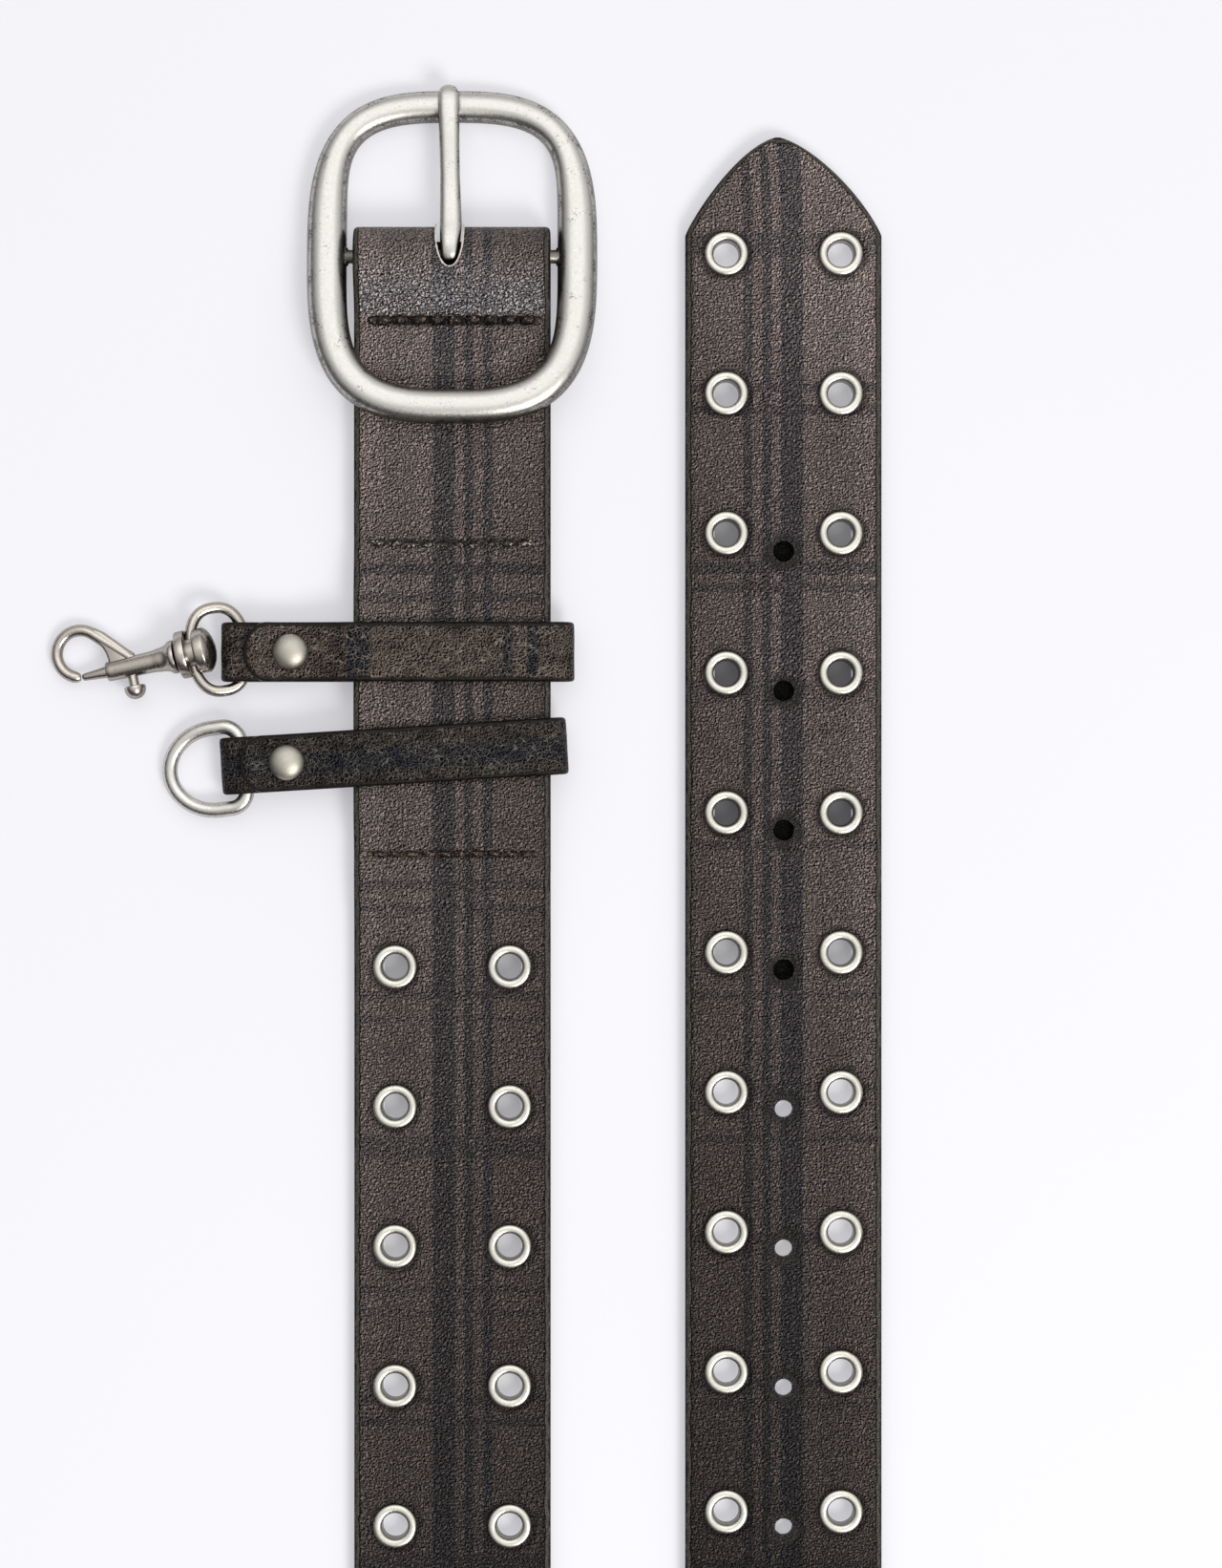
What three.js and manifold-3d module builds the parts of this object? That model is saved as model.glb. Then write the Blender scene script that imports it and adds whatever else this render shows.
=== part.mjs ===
// A studded leather belt, lying face up on a table with its buckle open. Its two ends lie
// side by side, and the stretch between them rolls up onto its edge and turns round.
// Two small straps, looped round the front layer near the buckle, carry a snap hook and a D-ring.
// Millimetres, +Z up. Each piece is placed from the fold of the strap, where y is 0, and from
// the line midway between the two strands, where x is 0. The last lines move the whole belt
// so that its origin lies under the middle of its box.
import * as THREE from "three";
import { mergeVertices } from "three/addons/utils/BufferGeometryUtils.js";
import Module from "manifold-3d";

const wasm = await Module();
wasm.setup();

const degrees = THREE.MathUtils.degToRad;

// Clearance between pieces
const GAP = 0.3;

// The strap, folded back under itself at the buckle
const STRAP_WIDTH = 40;
const STRAP_THICKNESS = 3;
const STRAP_BEVEL = 0.6;
const UNDER_THICKNESS = 1.8;
const UNDER_LENGTH = 131;
const UNDER_END_THICKNESS = 0.9;
const SKIVE_LENGTH = 8;
const STRAND_SPACING = 67.4;
const FOLD_INNER_RADIUS = 2.9;
const FOLD_CENTRE_Y = -5.3;
const SMALL_STRAP_THICKNESS = 1.8;

// The rounded point at the strap's free end: where its apex lies, and how far off the middle
const TIP_Y = 18.5;
const TIP_LENGTH = 20;
const TIP_LEAN = 1.2;
const TIP_END_HALF_WIDTH = 1.2;

// Rows of two eyelets, measured along the strap from the fold
const ROW_COUNT = 32;
const ROW_PITCH = 28.42;
const FIRST_ROW = 150.3;
const LAST_ROW_TO_TIP = 23.8;
const EYELET_SPREAD = 11.65;
const NEAR_BUCKLE_ROWS = 5;
const NEAR_TIP_ROWS = 10;

// Eyelets
const EYELET_INNER_RADIUS = 2.77;
const EYELET_MOUTH_RADIUS = 2.92;
const EYELET_BARREL_RADIUS = 3.1;
const EYELET_FLANGE_RADIUS = 4.5;
const EYELET_FLANGE_RISE = 0.9;
const EYELET_BACK_THICKNESS = 0.5;
const EYELET_SIDES = 10;
const HOLE_SIDES = 8;

// Punched holes, measured back from the tip
const PUNCH_COUNT = 8;
const PUNCH_PITCH = 28.35;
const FIRST_PUNCH = 84.3;
const PUNCH_RADIUS = 2.1;

// The turn past the two strands: each strand flares out, then one arc joins them
const FLARE_RADIUS = 150;
const FLARE_ANGLE = degrees(20);
const ROLL_LENGTH = 147.5;

// Buckle: a domed frame round a bar
const BAR_RADIUS = 1.6;
const BAR_HALF_LENGTH = 23.5;
const BAR_Y = -6;
const FRAME_TILT = degrees(5.9);
const FRAME_BACK = -1;
const FRAME_SIDE_HEIGHT = 1.3;
const FRAME_DOME_HEIGHT = 2.9;
const FRAME_OUTER = { halfWidth: 29.3, halfLength: 34.4, power: 2.8 };
const FRAME_WINDOW = { halfWidth: 21.1, topLength: 27.6, bottomLength: 27.1, topPower: 6.5, bottomPower: 3.9 };
const LUG_INNER = 20.6;
const LUG_OUTER = 26;
const LUG_HALF_LENGTH = 2.25;
const LUG_HALF_HEIGHT = 2.6;

// Prong and the slot that it comes through
const PRONG_X_OFFSET = -0.4;
const PRONG_TIP_LEAN = -0.5;
const PRONG_EYE_RADIUS = 2.75;
const PRONG_EYE_WIDTH = 4.4;
const SLOT_WIDTH = 5.8;
const SLOT_END_Y = -8.6;
const SLOT_FRONT_Y = 2;

// Rivets of the small straps
const RIVET_HEAD_RADIUS = 3.7;
const RIVET_HEAD_HEIGHT = 2.1;
const RIVET_POST_RADIUS = 1.2;
const RIVET_BACK_RADIUS = 3;
const RIVET_BACK_THICKNESS = 0.9;

// Snap hook: its axis runs from the open end of its barrel towards the swivel
const HOOK_START = { x: -103.9, y: -90.3 };
const HOOK_HEADING = degrees(12.4);
const HOOK_RISE = degrees(7.6);
const HOOK_ROLL = degrees(-4);
const DRUM_HEIGHT = 5.25;
const BARREL_RADIUS = 2.05;
const BARREL_LENGTH = 11;
const FLARE_END_RADIUS = 3.4;
const FLARE_END = 13.9;
const BOLT_RADIUS = 1;
const BOLT_TIP_RADIUS = 0.8;
const BOLT_TIP_U = -5.2;
const BOLT_END_U = 6.1;
const BOLT_TRAVEL = 4.5;
const STEM_U = 4.95;
const STEM_RADIUS = 1;
const KNOB_RADIUS = 2.2;
const LOOP_CENTRE = { u: -4.9, v: 4.85 };
const LOOP_RADIUS = 4.8;
const LOOP_WIRE_RADIUS = 1.2;
const SPINE_ANGLE = degrees(48.4);
const LOOP_TIP_ANGLE = degrees(260);
const SPINE_LENGTH = 9.6;
const DRUM_START = 14.2;
const DRUM_FLANGE_RADIUS = 4.8;
const DRUM_END_RADIUS = 4.6;
const DRUM_GROOVE_START = 16;
const DRUM_GROOVE_END = 19.75;
const DRUM_RIM_END = 21.4;
const DRUM_END = 22.6;
const DRUM_ARM_WIDTH = 5.4;
const DRUM_ARM_INNER = 2.6;
const DRUM_ARM_OUTER = 4;
const DRUM_EDGE = 0.8;

// The swivel pin that holds the hook in the drum: a neck, and a head sunk in the flange
const SWIVEL_NECK_RADIUS = 1.1;
const SWIVEL_HEAD_RADIUS = 1.8;
const SWIVEL_HEAD_START = 15.3;
const SWIVEL_HEAD_END = 15.9;

// The thin web between the hook's spine and its barrel
const WEB_THICKNESS = 1;
const WEB_OUTLINE = [
  { u: -1.2, v: 7.8 },
  { u: -0.6, v: 6 },
  { u: 0.2, v: 4.2 },
  { u: 0.6, v: 1.2 },
  { u: 5.2, v: 1.2 },
  { u: 5.2, v: 2.4 },
];

// Rings
const OVAL_WIRE_RADIUS = 1.15;
const OVAL_CENTRE = { x: -81.15, y: -85.75 };
const OVAL_HALF_WIDTH = 5.6;
const OVAL_HALF_LENGTH = 8.4;
const OVAL_POWER = 2.9;
const OVAL_LEAN = degrees(8.5);
const D_WIRE_RADIUS = 1.4;
const D_BOW_RADIUS = 8.45;
const D_DEPTH = 6.1;
const D_CORNER_RADIUS = 3.2;
const D_REST_HEIGHT = 1.5;

// Levels that follow from the sizes above
const underTop = UNDER_THICKNESS;
const layersMeet = underTop + GAP;
const pocketRoof = underTop + SMALL_STRAP_THICKNESS + 2 * GAP;
const strapLift = EYELET_BACK_THICKNESS + GAP;
const foldCentreZ = UNDER_THICKNESS + FOLD_INNER_RADIUS;
const leftX = -STRAND_SPACING / 2;
const prongX = leftX + PRONG_X_OFFSET;
const barCentre = new THREE.Vector3(leftX, BAR_Y, foldCentreZ);

// Underside of the front layer, from over the bar to where the strap lies on its eyelets:
// down to the under layer at the first row of stitches, up over the pocket for the small
// straps between the second and third rows, and down again past the under layer's end
const FRONT_HEIGHTS = [
  { y: -6.1, under: foldCentreZ + FOLD_INNER_RADIUS, steps: 0 },
  { y: -18.2, under: layersMeet, steps: 7 },
  { y: -64, under: layersMeet, steps: 1 },
  { y: -76.5, under: pocketRoof, steps: 5 },
  { y: -117, under: pocketRoof, steps: 1 },
  { y: -127, under: layersMeet, steps: 5 },
  { y: -130.5, under: layersMeet, steps: 1 },
  { y: -144.5, under: strapLift, steps: 5 },
];

// Height and half size of the prong along its length
const PRONG_SECTIONS = [
  { y: -6.4, z: 6.2, halfWidth: 2.15, halfHeight: 0.95 },
  { y: -2, z: 6.3, halfWidth: 2.2, halfHeight: 1.05 },
  { y: 8, z: 6.4, halfWidth: 2.25, halfHeight: 1.2 },
  { y: 17, z: 6.4, halfWidth: 2.25, halfHeight: 1.2 },
  { y: 23, z: 6.35, halfWidth: 2.15, halfHeight: 1.15 },
  { y: 26.5, z: 5.95, halfWidth: 2, halfHeight: 1.1 },
  { y: 28.2, z: 5.45, halfWidth: 1.5, halfHeight: 0.9 },
  { y: 28.8, z: 5.2, halfWidth: 0.7, halfHeight: 0.45 },
];

// The two small straps: where their middle crosses x = -45, their slope, the outer ends of
// their fold and wrap, their rounded end, the middle of the wire in the fold, and the rivet
const SMALL_STRAPS = [
  {
    name: "hook",
    y: -86.3,
    slope: 0,
    width: 12.1,
    foldX: -80.7,
    wrapX: -8.8,
    endX: -75.7,
    wireX: -75.5,
    wireRadius: OVAL_WIRE_RADIUS,
    rivetX: -66.4,
  },
  {
    name: "ring",
    y: -107.4,
    slope: degrees(3.5),
    width: 11.6,
    foldX: -80.8,
    wrapX: -10.2,
    endX: -76.4,
    wireX: -76.2,
    wireRadius: D_WIRE_RADIUS,
    rivetX: -67.2,
  },
];
const SMALL_STRAP_FLOOR = 0.15;
const LAYER_GAP = 0.15;
const WIRE_ROOM = 0.4;
const RIVET_ZONE_RIGHT = -60.8;
const TOP_LAYER_SHIFT = 0.8;
const LOW_EDGE_CLEARANCE = 1.4;
const HIGH_EDGE_CLEARANCE = 0.9;
const SMALL_STRAP_PIVOT_X = -45;

const leather = new THREE.MeshStandardMaterial({ color: 0x4a4240, roughness: 0.6, metalness: 0 });
const darkLeather = new THREE.MeshStandardMaterial({ color: 0x1d1918, roughness: 0.45, metalness: 0 });
const agedNickel = new THREE.MeshStandardMaterial({ color: 0x8f8a80, roughness: 0.35, metalness: 1 });
const satinNickel = new THREE.MeshStandardMaterial({ color: 0xb9b5aa, roughness: 0.3, metalness: 1 });
const eyeletNickel = new THREE.MeshStandardMaterial({ color: 0xcfccc0, roughness: 0.3, metalness: 1 });

const belt = new THREE.Group();

function addPiece(name, geometry, material) {
  geometry.computeVertexNormals();
  const mesh = new THREE.Mesh(geometry, material);
  mesh.name = name;
  belt.add(mesh);
  return mesh;
}

// Six times the signed volume inside a closed geometry
function signedVolume(geometry) {
  const points = geometry.getAttribute("position");
  const index = geometry.getIndex().array;
  const a = new THREE.Vector3();
  const b = new THREE.Vector3();
  const c = new THREE.Vector3();
  let sum = 0;
  for (let i = 0; i < index.length; i += 3) {
    a.fromBufferAttribute(points, index[i]);
    b.fromBufferAttribute(points, index[i + 1]);
    c.fromBufferAttribute(points, index[i + 2]);
    sum += a.dot(b.cross(c));
  }
  return sum;
}

// A closed skin over rings of points, whose two ends are capped unless it closes on itself
function skin(rings, closesOnItself = false) {
  const count = rings[0].length;
  const faces = [];
  const spans = closesOnItself ? rings.length : rings.length - 1;
  for (let i = 0; i < spans; i++) {
    const near = i * count;
    const far = ((i + 1) % rings.length) * count;
    for (let j = 0; j < count; j++) {
      const k = (j + 1) % count;
      faces.push(near + j, near + k, far + k);
      faces.push(near + j, far + k, far + j);
    }
  }
  if (!closesOnItself) {
    const end = (rings.length - 1) * count;
    for (let j = 1; j < count - 1; j++) {
      faces.push(0, j + 1, j);
      faces.push(end, end + j, end + j + 1);
    }
  }
  const geometry = new THREE.BufferGeometry();
  const coordinates = rings.flat().flatMap((point) => point.toArray());
  geometry.setAttribute("position", new THREE.Float32BufferAttribute(coordinates, 3));
  geometry.setIndex(faces);
  if (signedVolume(geometry) < 0) {
    geometry.setIndex(faces.reverse());
  }
  return geometry;
}

function solidOf(geometry) {
  const bare = geometry.clone();
  bare.deleteAttribute("normal");
  bare.deleteAttribute("uv");
  const merged = mergeVertices(bare, 1e-4);
  const mesh = new wasm.Mesh({
    numProp: 3,
    vertProperties: merged.getAttribute("position").array,
    triVerts: new Uint32Array(merged.getIndex().array),
  });
  return new wasm.Manifold(mesh);
}

function geometryOf(solid) {
  const mesh = solid.getMesh();
  const geometry = new THREE.BufferGeometry();
  geometry.setAttribute("position", new THREE.BufferAttribute(mesh.vertProperties, 3));
  geometry.setIndex(new THREE.BufferAttribute(mesh.triVerts, 1));
  return geometry;
}

function joined(geometries) {
  return geometries.map(solidOf).reduce((whole, solid) => whole.add(solid));
}

function cut(solid, cutters) {
  return cutters.map(solidOf).reduce((rest, cutter) => rest.subtract(cutter), solid);
}

// A cylinder whose axis runs along a direction, centred on a point
function rod(radius, length, sides, centre, direction) {
  const geometry = new THREE.CylinderGeometry(radius, radius, length, sides);
  const turn = new THREE.Quaternion().setFromUnitVectors(new THREE.Vector3(0, 1, 0), direction);
  return geometry.applyQuaternion(turn).translate(centre.x, centre.y, centre.z);
}

// A cutter for a round hole that leaves a full radius free between its flat sides
function hole(radius, length, sides, centre, direction) {
  return rod(radius / Math.cos(Math.PI / sides), length, sides, centre, direction);
}

// A turned solid: a profile of radius and distance along the axis, which is +Y until it is placed
function turned(profile, sides) {
  const points = profile.map(([radius, along]) => new THREE.Vector2(radius, along));
  return new THREE.LatheGeometry(points, sides);
}

// The route of the strap's middle in plan, as stretches that are straight or turn evenly
const flareOffset = FLARE_RADIUS * (1 - Math.cos(FLARE_ANGLE));
const turnRadius = (STRAND_SPACING / 2 + flareOffset) / Math.cos(FLARE_ANGLE);
const flareLength = FLARE_RADIUS * FLARE_ANGLE;
const turnAngle = Math.PI + 2 * FLARE_ANGLE;
const turnLength = turnRadius * turnAngle;
const strapLength = FIRST_ROW + (ROW_COUNT - 1) * ROW_PITCH + LAST_ROW_TO_TIP;
const strandLength = (strapLength - TIP_Y - turnLength - 2 * flareLength) / 2;
const ROUTE = [
  { length: strandLength, turn: 0 },
  { length: flareLength, turn: -FLARE_ANGLE },
  { length: turnLength, turn: turnAngle },
  { length: flareLength, turn: -FLARE_ANGLE },
  { length: strandLength + TIP_Y, turn: 0 },
];
const rollEnd = strandLength + flareLength;
const rollStart = rollEnd - ROLL_LENGTH;
const unrollStart = rollEnd + turnLength;

function routeAt(distance) {
  let x = leftX;
  let y = 0;
  let heading = -Math.PI / 2;
  let left = distance;
  for (const stretch of ROUTE) {
    const travel = Math.min(left, stretch.length);
    if (stretch.turn === 0) {
      x += travel * Math.cos(heading);
      y += travel * Math.sin(heading);
    } else {
      const radius = stretch.length / stretch.turn;
      const next = heading + travel / radius;
      x += radius * (Math.sin(next) - Math.sin(heading));
      y -= radius * (Math.cos(next) - Math.cos(heading));
      heading = next;
    }
    left -= travel;
    if (left <= 0) {
      break;
    }
  }
  return { x, y, heading };
}

// How far the strap has rolled onto its edge, from 0 where it lies flat to a quarter turn
function rollAt(distance) {
  const rising = THREE.MathUtils.smoothstep(distance, rollStart, rollEnd);
  const falling = THREE.MathUtils.smoothstep(distance, unrollStart, unrollStart + ROLL_LENGTH);
  return (Math.PI / 2) * (rising - falling);
}

// Middle of the strap, the direction across it and the direction that its face looks
function strapFrame(distance) {
  const { x, y, heading } = routeAt(distance);
  const roll = rollAt(distance);
  const flat = STRAP_THICKNESS / 2 + strapLift;
  const z = (STRAP_WIDTH / 2) * Math.sin(roll) + flat * Math.cos(roll);
  const level = new THREE.Vector3(-Math.sin(heading), Math.cos(heading), 0);
  const up = new THREE.Vector3(0, 0, 1);
  const across = level.clone().multiplyScalar(Math.cos(roll)).addScaledVector(up, Math.sin(roll));
  const face = up.clone().multiplyScalar(Math.cos(roll)).addScaledVector(level, -Math.sin(roll));
  return { middle: new THREE.Vector3(x, y, z), across, face };
}

// A point at an offset from the strap's middle line, and the direction that the face looks there
function strapPoint(distance, offset) {
  const pointAt = (along) => {
    const { middle, across } = strapFrame(along);
    return middle.addScaledVector(across, offset);
  };
  const onward = pointAt(distance + 1).sub(pointAt(distance - 1));
  const face = onward.cross(strapFrame(distance).across).normalize();
  return { centre: pointAt(distance), face };
}

// One ring of the strap's skin: a flat rectangle whose two corners on the face are bevelled
function strapRing({ middle, across, face }, halfWidth, thickness) {
  const halfThickness = thickness / 2;
  const bevel = Math.min(STRAP_BEVEL, halfThickness * 0.6);
  const corners = [
    [halfWidth, -halfThickness],
    [halfWidth, halfThickness - bevel],
    [halfWidth - bevel, halfThickness],
    [bevel - halfWidth, halfThickness],
    [-halfWidth, halfThickness - bevel],
    [-halfWidth, -halfThickness],
  ];
  return corners.map(([w, t]) => middle.clone().addScaledVector(across, w).addScaledVector(face, t));
}

// Half width of the strap at a distance back from its apex
function tipHalfWidth(back) {
  const part = THREE.MathUtils.clamp(back / TIP_LENGTH, 0, 1);
  const fullness = 1 - (1 - part) ** 1.15;
  return Math.max((STRAP_WIDTH / 2) * fullness ** 0.66, TIP_END_HALF_WIDTH);
}

// Half a cosine wave from one value to another
function eased(from, to, part) {
  return from + ((to - from) * (1 - Math.cos(Math.PI * part))) / 2;
}

// Rings of the buckle end: the under layer, the fold round the bar, and the front layer
function buckleEndRings() {
  const rings = [];
  const across = new THREE.Vector3(1, 0, 0);
  const halfWidth = STRAP_WIDTH / 2;
  const down = new THREE.Vector3(0, 0, -1);
  const skived = [
    { y: -UNDER_LENGTH, thickness: UNDER_END_THICKNESS },
    { y: SKIVE_LENGTH - UNDER_LENGTH, thickness: UNDER_THICKNESS },
  ];
  for (const { y, thickness } of skived) {
    const middle = new THREE.Vector3(leftX, y, thickness / 2);
    rings.push(strapRing({ middle, across, face: down }, halfWidth, thickness));
  }
  const foldSteps = 8;
  for (let i = 0; i <= foldSteps; i++) {
    const part = i / foldSteps;
    const angle = Math.PI * part - Math.PI / 2;
    const thickness = THREE.MathUtils.lerp(UNDER_THICKNESS, STRAP_THICKNESS, part);
    const radius = FOLD_INNER_RADIUS + thickness / 2;
    const face = new THREE.Vector3(0, Math.cos(angle), Math.sin(angle));
    const middle = new THREE.Vector3(leftX, FOLD_CENTRE_Y, foldCentreZ).addScaledVector(face, radius);
    rings.push(strapRing({ middle, across, face }, halfWidth, thickness));
  }
  for (let row = 1; row < FRONT_HEIGHTS.length; row++) {
    const from = FRONT_HEIGHTS[row - 1];
    const to = FRONT_HEIGHTS[row];
    for (let i = 1; i <= to.steps; i++) {
      const part = i / to.steps;
      const y = THREE.MathUtils.lerp(from.y, to.y, part);
      const rate = ((Math.PI / 2) * (to.under - from.under) * Math.sin(Math.PI * part)) / (to.y - from.y);
      const face = new THREE.Vector3(0, -rate, 1).normalize();
      const underside = new THREE.Vector3(leftX, y, eased(from.under, to.under, part));
      const middle = underside.addScaledVector(face, STRAP_THICKNESS / 2);
      rings.push(strapRing({ middle, across, face }, halfWidth, STRAP_THICKNESS));
    }
  }
  return rings;
}

// Rings of the rest of the strap, from the start of the roll to the tip
function longRings() {
  const rings = [];
  const distances = [];
  const rollSteps = 12;
  const turnSteps = 18;
  const tipSteps = 8;
  const tipCrowding = 1.6;
  for (let i = 0; i <= rollSteps; i++) {
    distances.push(rollStart + (ROLL_LENGTH * i) / rollSteps);
  }
  for (let i = 1; i < turnSteps; i++) {
    distances.push(rollEnd + (turnLength * i) / turnSteps);
  }
  for (let i = 0; i <= rollSteps; i++) {
    distances.push(unrollStart + (ROLL_LENGTH * i) / rollSteps);
  }
  for (let i = 0; i <= tipSteps; i++) {
    const part = i / tipSteps;
    distances.push(strapLength - TIP_LENGTH * (1 - part) ** tipCrowding);
  }
  for (const distance of distances) {
    const frame = strapFrame(distance);
    const back = strapLength - distance;
    const lean = TIP_LEAN * Math.max(0, 1 - back / TIP_LENGTH) ** 2;
    frame.middle.addScaledVector(frame.across, lean);
    rings.push(strapRing(frame, tipHalfWidth(back), STRAP_THICKNESS));
  }
  return rings;
}

// Eyelets of every row, from the buckle to the tip, two to a row
function eyeletPlaces() {
  const places = [];
  for (let row = 0; row < ROW_COUNT; row++) {
    for (const side of [-1, 1]) {
      places.push({ row, ...strapPoint(FIRST_ROW + row * ROW_PITCH, side * EYELET_SPREAD) });
    }
  }
  return places;
}

function makeStrap() {
  const cutters = [];
  const holeRadius = EYELET_BARREL_RADIUS + GAP;
  const through = STRAP_THICKNESS * 2;
  for (const { centre, face } of eyeletPlaces()) {
    cutters.push(hole(holeRadius, through, HOLE_SIDES, centre, face));
  }
  for (let i = 0; i < PUNCH_COUNT; i++) {
    const frame = strapFrame(strapLength - FIRST_PUNCH - i * PUNCH_PITCH);
    cutters.push(rod(PUNCH_RADIUS, through, HOLE_SIDES, frame.middle, frame.face));
  }
  const slotTop = foldCentreZ * 3;
  const slotEnd = new THREE.Vector3(prongX, SLOT_END_Y + SLOT_WIDTH / 2, slotTop / 2);
  const slotLength = SLOT_FRONT_Y - slotEnd.y;
  const slot = new THREE.BoxGeometry(SLOT_WIDTH, slotLength, slotTop * 2);
  slot.translate(prongX, slotEnd.y + slotLength / 2, slotTop / 2);
  cutters.push(slot);
  cutters.push(rod(SLOT_WIDTH / 2, slotTop * 2, 12, slotEnd, new THREE.Vector3(0, 0, 1)));
  const body = solidOf(skin([...buckleEndRings(), ...longRings()]));
  addPiece("strap", geometryOf(cut(body, cutters)), leather);
}

// An eyelet: a barrel with a rolled flange on the face and a flat one on the back
function eyeletGeometry() {
  const half = STRAP_THICKNESS / 2 + GAP;
  const back = -half - EYELET_BACK_THICKNESS;
  const top = half + EYELET_FLANGE_RISE;
  const profile = [
    [EYELET_INNER_RADIUS, back],
    [EYELET_FLANGE_RADIUS, back],
    [EYELET_BARREL_RADIUS, -half],
    [EYELET_BARREL_RADIUS, half],
    [EYELET_FLANGE_RADIUS, half],
    [EYELET_MOUTH_RADIUS, top],
    [EYELET_INNER_RADIUS, back],
  ];
  return turned(profile, EYELET_SIDES).rotateX(Math.PI / 2);
}

// The eyelets of the stretches that lie flat are pieces of their own
function makeEyelets() {
  const nearTip = ROW_COUNT - NEAR_TIP_ROWS;
  const places = eyeletPlaces().filter(({ row }) => row < NEAR_BUCKLE_ROWS || row >= nearTip);
  places.forEach(({ centre, face }, i) => {
    const name = "eyelet_" + String(i + 1).padStart(2, "0");
    const eyelet = addPiece(name, eyeletGeometry(), eyeletNickel);
    eyelet.quaternion.setFromUnitVectors(new THREE.Vector3(0, 0, 1), face);
    eyelet.position.copy(centre);
  });
}

// Distance from the middle to a rounded oblong outline in a direction
function oblong(halfWidth, halfLength, power, angle) {
  const wide = Math.abs(Math.cos(angle) / halfWidth) ** power;
  const long = Math.abs(Math.sin(angle) / halfLength) ** power;
  return (wide + long) ** (-1 / power);
}

// A point of the frame, from its place across, along and above the bar
function framePoint(across, along, above) {
  const axis = new THREE.Vector3(1, 0, 0);
  return new THREE.Vector3(across, along, above).applyAxisAngle(axis, -FRAME_TILT).add(barCentre);
}

// A domed section from the window's edge to the outer edge, all the way round
function frameRings() {
  const rings = [];
  const steps = 48;
  const domeSteps = 4;
  for (let i = 0; i < steps; i++) {
    const angle = (2 * Math.PI * i) / steps;
    const upper = Math.sin(angle) > 0;
    const windowLength = upper ? FRAME_WINDOW.topLength : FRAME_WINDOW.bottomLength;
    const windowPower = upper ? FRAME_WINDOW.topPower : FRAME_WINDOW.bottomPower;
    const near = oblong(FRAME_WINDOW.halfWidth, windowLength, windowPower, angle);
    const far = oblong(FRAME_OUTER.halfWidth, FRAME_OUTER.halfLength, FRAME_OUTER.power, angle);
    const shoulder = FRAME_BACK + FRAME_SIDE_HEIGHT;
    const section = [{ distance: near, above: FRAME_BACK }];
    for (let j = 0; j <= domeSteps; j++) {
      const part = j / domeSteps;
      const above = shoulder + FRAME_DOME_HEIGHT * Math.sin(Math.PI * part) ** 0.8;
      section.push({ distance: THREE.MathUtils.lerp(near, far, part), above });
    }
    section.push({ distance: far, above: FRAME_BACK });
    const ring = section.map(({ distance, above }) =>
      framePoint(distance * Math.cos(angle), distance * Math.sin(angle), above),
    );
    rings.push(ring);
  }
  return rings;
}

function makeBuckleFrame() {
  const lugs = [-1, 1].map((side) => {
    const lug = new THREE.BoxGeometry(LUG_OUTER - LUG_INNER, 2 * LUG_HALF_LENGTH, 2 * LUG_HALF_HEIGHT);
    lug.rotateX(-FRAME_TILT);
    return lug.translate(leftX + (side * (LUG_OUTER + LUG_INNER)) / 2, barCentre.y, barCentre.z);
  });
  const body = joined([skin(frameRings(), true), ...lugs]);
  const bore = hole(BAR_RADIUS + GAP, 2 * (BAR_HALF_LENGTH + GAP), 12, barCentre, new THREE.Vector3(1, 0, 0));
  addPiece("buckle_frame", geometryOf(cut(body, [bore])), agedNickel);
}

function makeBuckleBar() {
  const bar = rod(BAR_RADIUS, 2 * BAR_HALF_LENGTH, 12, barCentre, new THREE.Vector3(1, 0, 0));
  addPiece("buckle_bar", bar, agedNickel);
}

// The prong: a bar with a flat underside and a round top, bent down at its tip, on an eye
function makeProng() {
  const sides = 10;
  const first = PRONG_SECTIONS[0];
  const last = PRONG_SECTIONS[PRONG_SECTIONS.length - 1];
  const rings = PRONG_SECTIONS.map(({ y, z, halfWidth, halfHeight }) => {
    const lean = (PRONG_TIP_LEAN * (y - first.y)) / (last.y - first.y);
    const ring = [];
    for (let i = 0; i < sides; i++) {
      const angle = (2 * Math.PI * (i + 0.5)) / sides;
      const rise = Math.max(Math.sin(angle), -0.6) / 0.8 - 0.25;
      ring.push(new THREE.Vector3(prongX + lean + halfWidth * Math.cos(angle), y, z + halfHeight * rise));
    }
    return ring;
  });
  const sideways = new THREE.Vector3(1, 0, 0);
  const eyeCentre = new THREE.Vector3(prongX, barCentre.y, barCentre.z);
  const eye = rod(PRONG_EYE_RADIUS, PRONG_EYE_WIDTH, 16, eyeCentre, sideways);
  const bore = hole(BAR_RADIUS + GAP, PRONG_EYE_WIDTH * 2, 12, eyeCentre, sideways);
  addPiece("prong", geometryOf(cut(joined([skin(rings), eye]), [bore])), agedNickel);
}

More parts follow.
